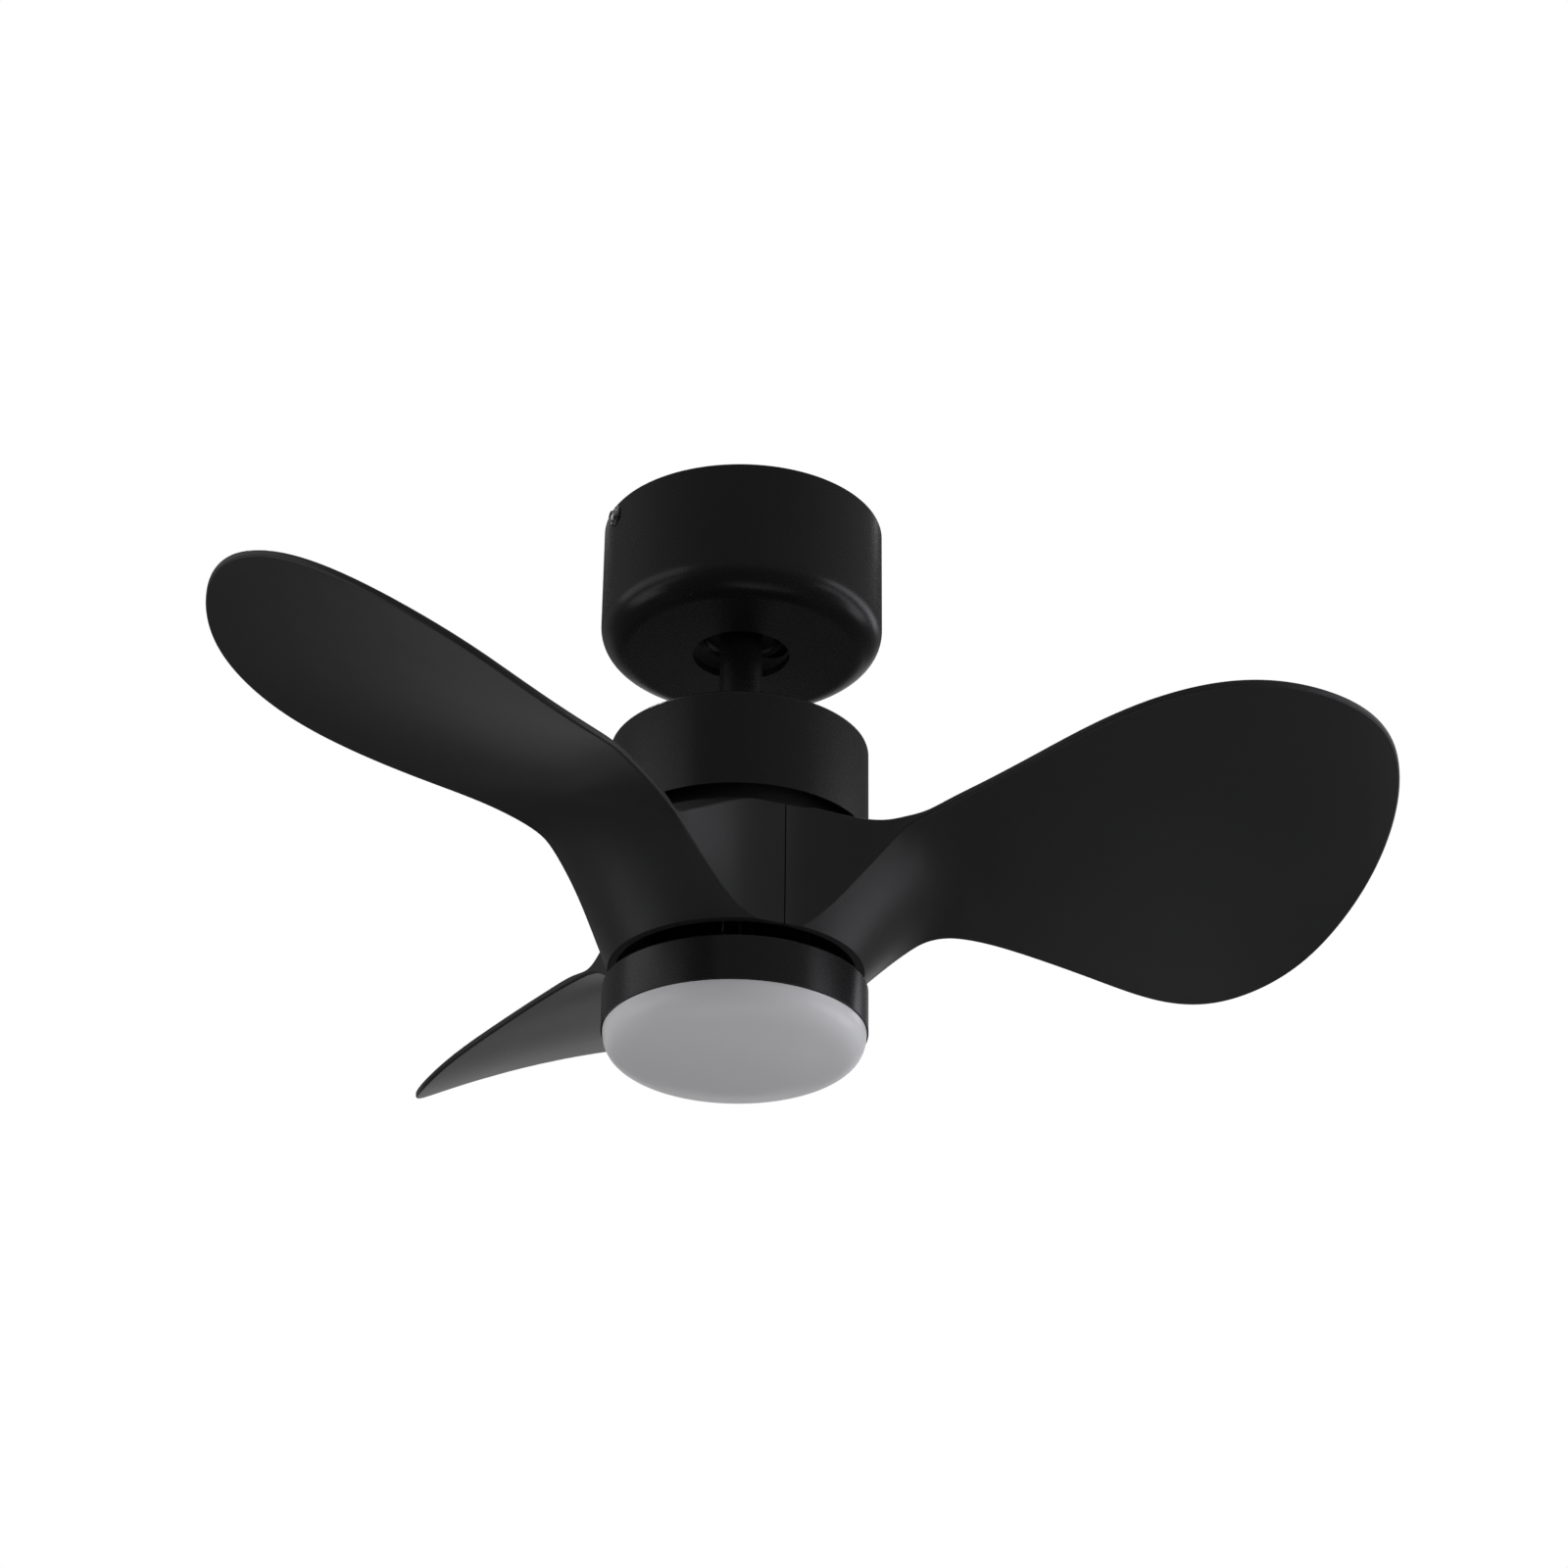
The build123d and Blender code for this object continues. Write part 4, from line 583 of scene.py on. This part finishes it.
def makeCamera(look):
    data = bpy.data.cameras.new("photoCamera")
    camera = showObject("photoCamera", data)
    spot = aroundAim(look["azimuth"], look["elevation"], look["distance"])
    ahead = (Vector(look["aim"]) - spot).normalized()
    a, roll = math.radians(look["azimuth"]), math.radians(look["roll"])
    right = Vector((math.cos(a), math.sin(a), 0.0))
    up = right.cross(ahead)
    leanRight = math.cos(roll) * right + math.sin(roll) * up
    leanUp = math.cos(roll) * up - math.sin(roll) * right
    half = look["frameWidth"] / 2
    toAim = Vector(((look["aimPixel"][0] - half) / look["focalPixels"],
                    (half - look["aimPixel"][1]) / look["focalPixels"], 1.0))
    turn = Vector((0, 0, 1)).rotation_difference(toAim.normalized()).to_matrix()
    axes = turn @ Matrix((leanRight, leanUp, ahead))
    pose = Matrix((axes[0], axes[1], -axes[2])).transposed().to_4x4()
    pose.translation = spot
    camera.matrix_world = pose
    data.sensor_width = look["sensor"]
    data.lens = look["focalPixels"] / look["frameWidth"] * look["sensor"]
    data.clip_start, data.clip_end = look["clip"]
    scene.camera = camera


makeCamera(cameraLook)
print("camera placed")

# soft boxes: a strip and a low box on each side, three behind, and a small one for the screws' glints
lampLook = {
    "rightStrip": {"azimuth": 74.0, "height": 0.045, "distance": 0.8, "size": (1.05, 0.2), "watts": 0.86,
                   "colour": (0.92, 0.92, 1.0)},
    "rightLow": {"azimuth": 66.0, "height": -0.42, "distance": 0.9, "size": (0.9, 0.36), "watts": 1.02,
                 "colour": (0.93, 0.93, 1.0)},
    "leftStrip": {"azimuth": -97.0, "height": 0.03, "distance": 0.65, "size": (0.8, 0.24), "watts": 0.30,
                  "colour": (0.98, 0.98, 1.0)},
    "leftLow": {"azimuth": -97.0, "height": -0.42, "distance": 0.7, "size": (0.75, 0.35), "watts": 0.49,
                "colour": (0.98, 0.98, 1.0)},
    "backBox": {"azimuth": 150.0, "height": -0.03, "distance": 1.1, "size": (0.8, 0.74), "watts": 0.61,
                "colour": (1.0, 1.0, 1.0)},
    "topBox": {"azimuth": 150.0, "height": 1.1, "distance": 0.9, "size": (1.6, 0.8), "watts": 4.02,
               "colour": (1.0, 1.0, 1.0)},
    "backLeft": {"azimuth": 180.0, "height": -0.15, "distance": 1.1, "size": (0.7, 0.4), "watts": 0.08,
                 "colour": (1.0, 1.0, 1.0)},
    "sparkLamp": {"azimuth": 215.0, "height": 1.2, "distance": 0.9, "size": (0.12, 0.12), "watts": 1.81,
                  "colour": (1.0, 1.0, 1.0)},
}


def makeLamp(name, look):
    lamp = bpy.data.lights.new(name, "AREA")
    lamp.shape = "RECTANGLE"
    lamp.size, lamp.size_y = look["size"]
    lamp.energy = look["watts"]
    lamp.color = look["colour"]
    holder = showObject(name, lamp)
    holder.visible_camera = False
    holder.location = aroundAim(look["azimuth"], 0.0, look["distance"])
    holder.location.z = look["height"]
    facing = Vector(cameraLook["aim"]) - holder.location
    holder.rotation_euler = facing.to_track_quat("-Z", "Y").to_euler()


for name, look in lampLook.items():
    makeLamp(name, look)
print("lamps hung:", len(lampLook))

# the camera sees white; matt skin gets its light from the sides, and gloss sees a dim room that is
# darker below, in front and high up behind; each Edges pair is where one level passes into the next,
# as the cosine of the angle to that direction
worldLook = {"fill": 0.01, "leftFill": 0.72, "rightFill": 1.08, "sideEdges": (0.1, 0.9),
             "front": 0.12, "back": 0.15, "backEdges": (-0.85, 0.0),
             "lowShare": 0.26, "upEdges": (-0.37, 0.21),
             "crownShare": 0.4, "crownBackEdges": (0.2, 0.85), "crownUpEdges": (0.25, 0.5)}


def makeWorld(look):
    world = bpy.data.worlds.new("studio")
    scene.world = world
    world.use_nodes = True
    tree = world.node_tree
    background = tree.nodes["Background"]
    rays = addNode(tree, "ShaderNodeLightPath")
    place = addNode(tree, "ShaderNodeTexCoord")

    def facing(direction, edges, low, high):
        lined = addNode(tree, "ShaderNodeVectorMath", {0: place.outputs["Generated"]},
                        operation="DOT_PRODUCT")
        lined.inputs[1].default_value = direction
        return addNode(tree, "ShaderNodeMapRange", {"Value": lined.outputs["Value"]},
                       interpolation_type="SMOOTHSTEP", From_Min=edges[0], From_Max=edges[1],
                       To_Min=low, To_Max=high).outputs[0]

    aim = Vector(cameraLook["aim"])
    backwards = aroundAim(cameraLook["azimuth"] + 180.0, 0.0, 1.0) - aim
    rightwards = aroundAim(cameraLook["azimuth"] + 90.0, 0.0, 1.0) - aim
    up = Vector((0, 0, 1))
    level = calc(tree, "MULTIPLY", facing(backwards, look["backEdges"], look["front"], look["back"]),
                 facing(up, look["upEdges"], look["lowShare"], 1.0))
    crown = calc(tree, "MULTIPLY", facing(backwards, look["crownBackEdges"], 0.0, 1.0 - look["crownShare"]),
                 facing(up, look["crownUpEdges"], 0.0, 1.0))
    room = calc(tree, "MULTIPLY", level, calc(tree, "SUBTRACT", 1.0, crown))
    shiny = calc(tree, "MAXIMUM", rays.outputs["Is Glossy Ray"], rays.outputs["Is Transmission Ray"])
    sides = calc(tree, "ADD", facing(-rightwards, look["sideEdges"], 0.0, look["leftFill"]),
                 facing(rightwards, look["sideEdges"], 0.0, look["rightFill"]))
    soft = calc(tree, "ADD", look["fill"], sides)
    around = addNode(tree, "ShaderNodeMix", {0: shiny, 2: soft, 3: room})
    seen = addNode(tree, "ShaderNodeMix", {0: rays.outputs["Is Camera Ray"], 2: around.outputs[0]})
    seen.inputs[3].default_value = 1.0
    tree.links.new(seen.outputs[0], background.inputs["Strength"])
    background.inputs["Color"].default_value = (1, 1, 1, 1)


makeWorld(worldLook)

floorLook = {"drop": -2.4, "radius": 1.5, "corners": 96, "fadeFrom": 0.2,
             "colour": (0.82, 0.82, 0.81, 1.0), "roughness": 0.9, "lift": 0.7}


# pale floor that fades out, so that no edge of it shows; the camera sees it lifted towards its colour
def makeFloor(look):
    bpy.ops.mesh.primitive_circle_add(vertices=look["corners"], radius=look["radius"],
                                      fill_type="NGON", location=(0, 0, look["drop"]))
    floor = bpy.context.object
    floor.name = "paleFloor"
    material = bpy.data.materials.new("paleFloor")
    material.use_nodes = True
    tree = material.node_tree
    shader = tree.nodes["Principled BSDF"]
    shader.inputs["Base Color"].default_value = look["colour"]
    shader.inputs["Roughness"].default_value = look["roughness"]
    place = addNode(tree, "ShaderNodeTexCoord")
    reach = addNode(tree, "ShaderNodeVectorMath", {0: place.outputs["Object"]}, operation="LENGTH")
    fade = addNode(tree, "ShaderNodeMapRange", {"Value": reach.outputs["Value"]},
                   interpolation_type="SMOOTHSTEP", From_Min=look["fadeFrom"], From_Max=look["radius"])
    rays = addNode(tree, "ShaderNodeLightPath")
    glow = addNode(tree, "ShaderNodeEmission")
    glow.inputs["Color"].default_value = look["colour"]
    lifted = addNode(tree, "ShaderNodeMixShader", {
        0: calc(tree, "MULTIPLY", rays.outputs["Is Camera Ray"], look["lift"]),
        1: shader.outputs[0], 2: glow.outputs[0]})
    clear = addNode(tree, "ShaderNodeBsdfTransparent")
    mixed = addNode(tree, "ShaderNodeMixShader", {
        0: fade.outputs[0], 1: lifted.outputs[0], 2: clear.outputs[0]})
    tree.links.new(mixed.outputs[0], tree.nodes["Material Output"].inputs["Surface"])
    floor.data.materials.append(material)


makeFloor(floorLook)
scene.view_settings.view_transform = "Standard"
print("stage set")
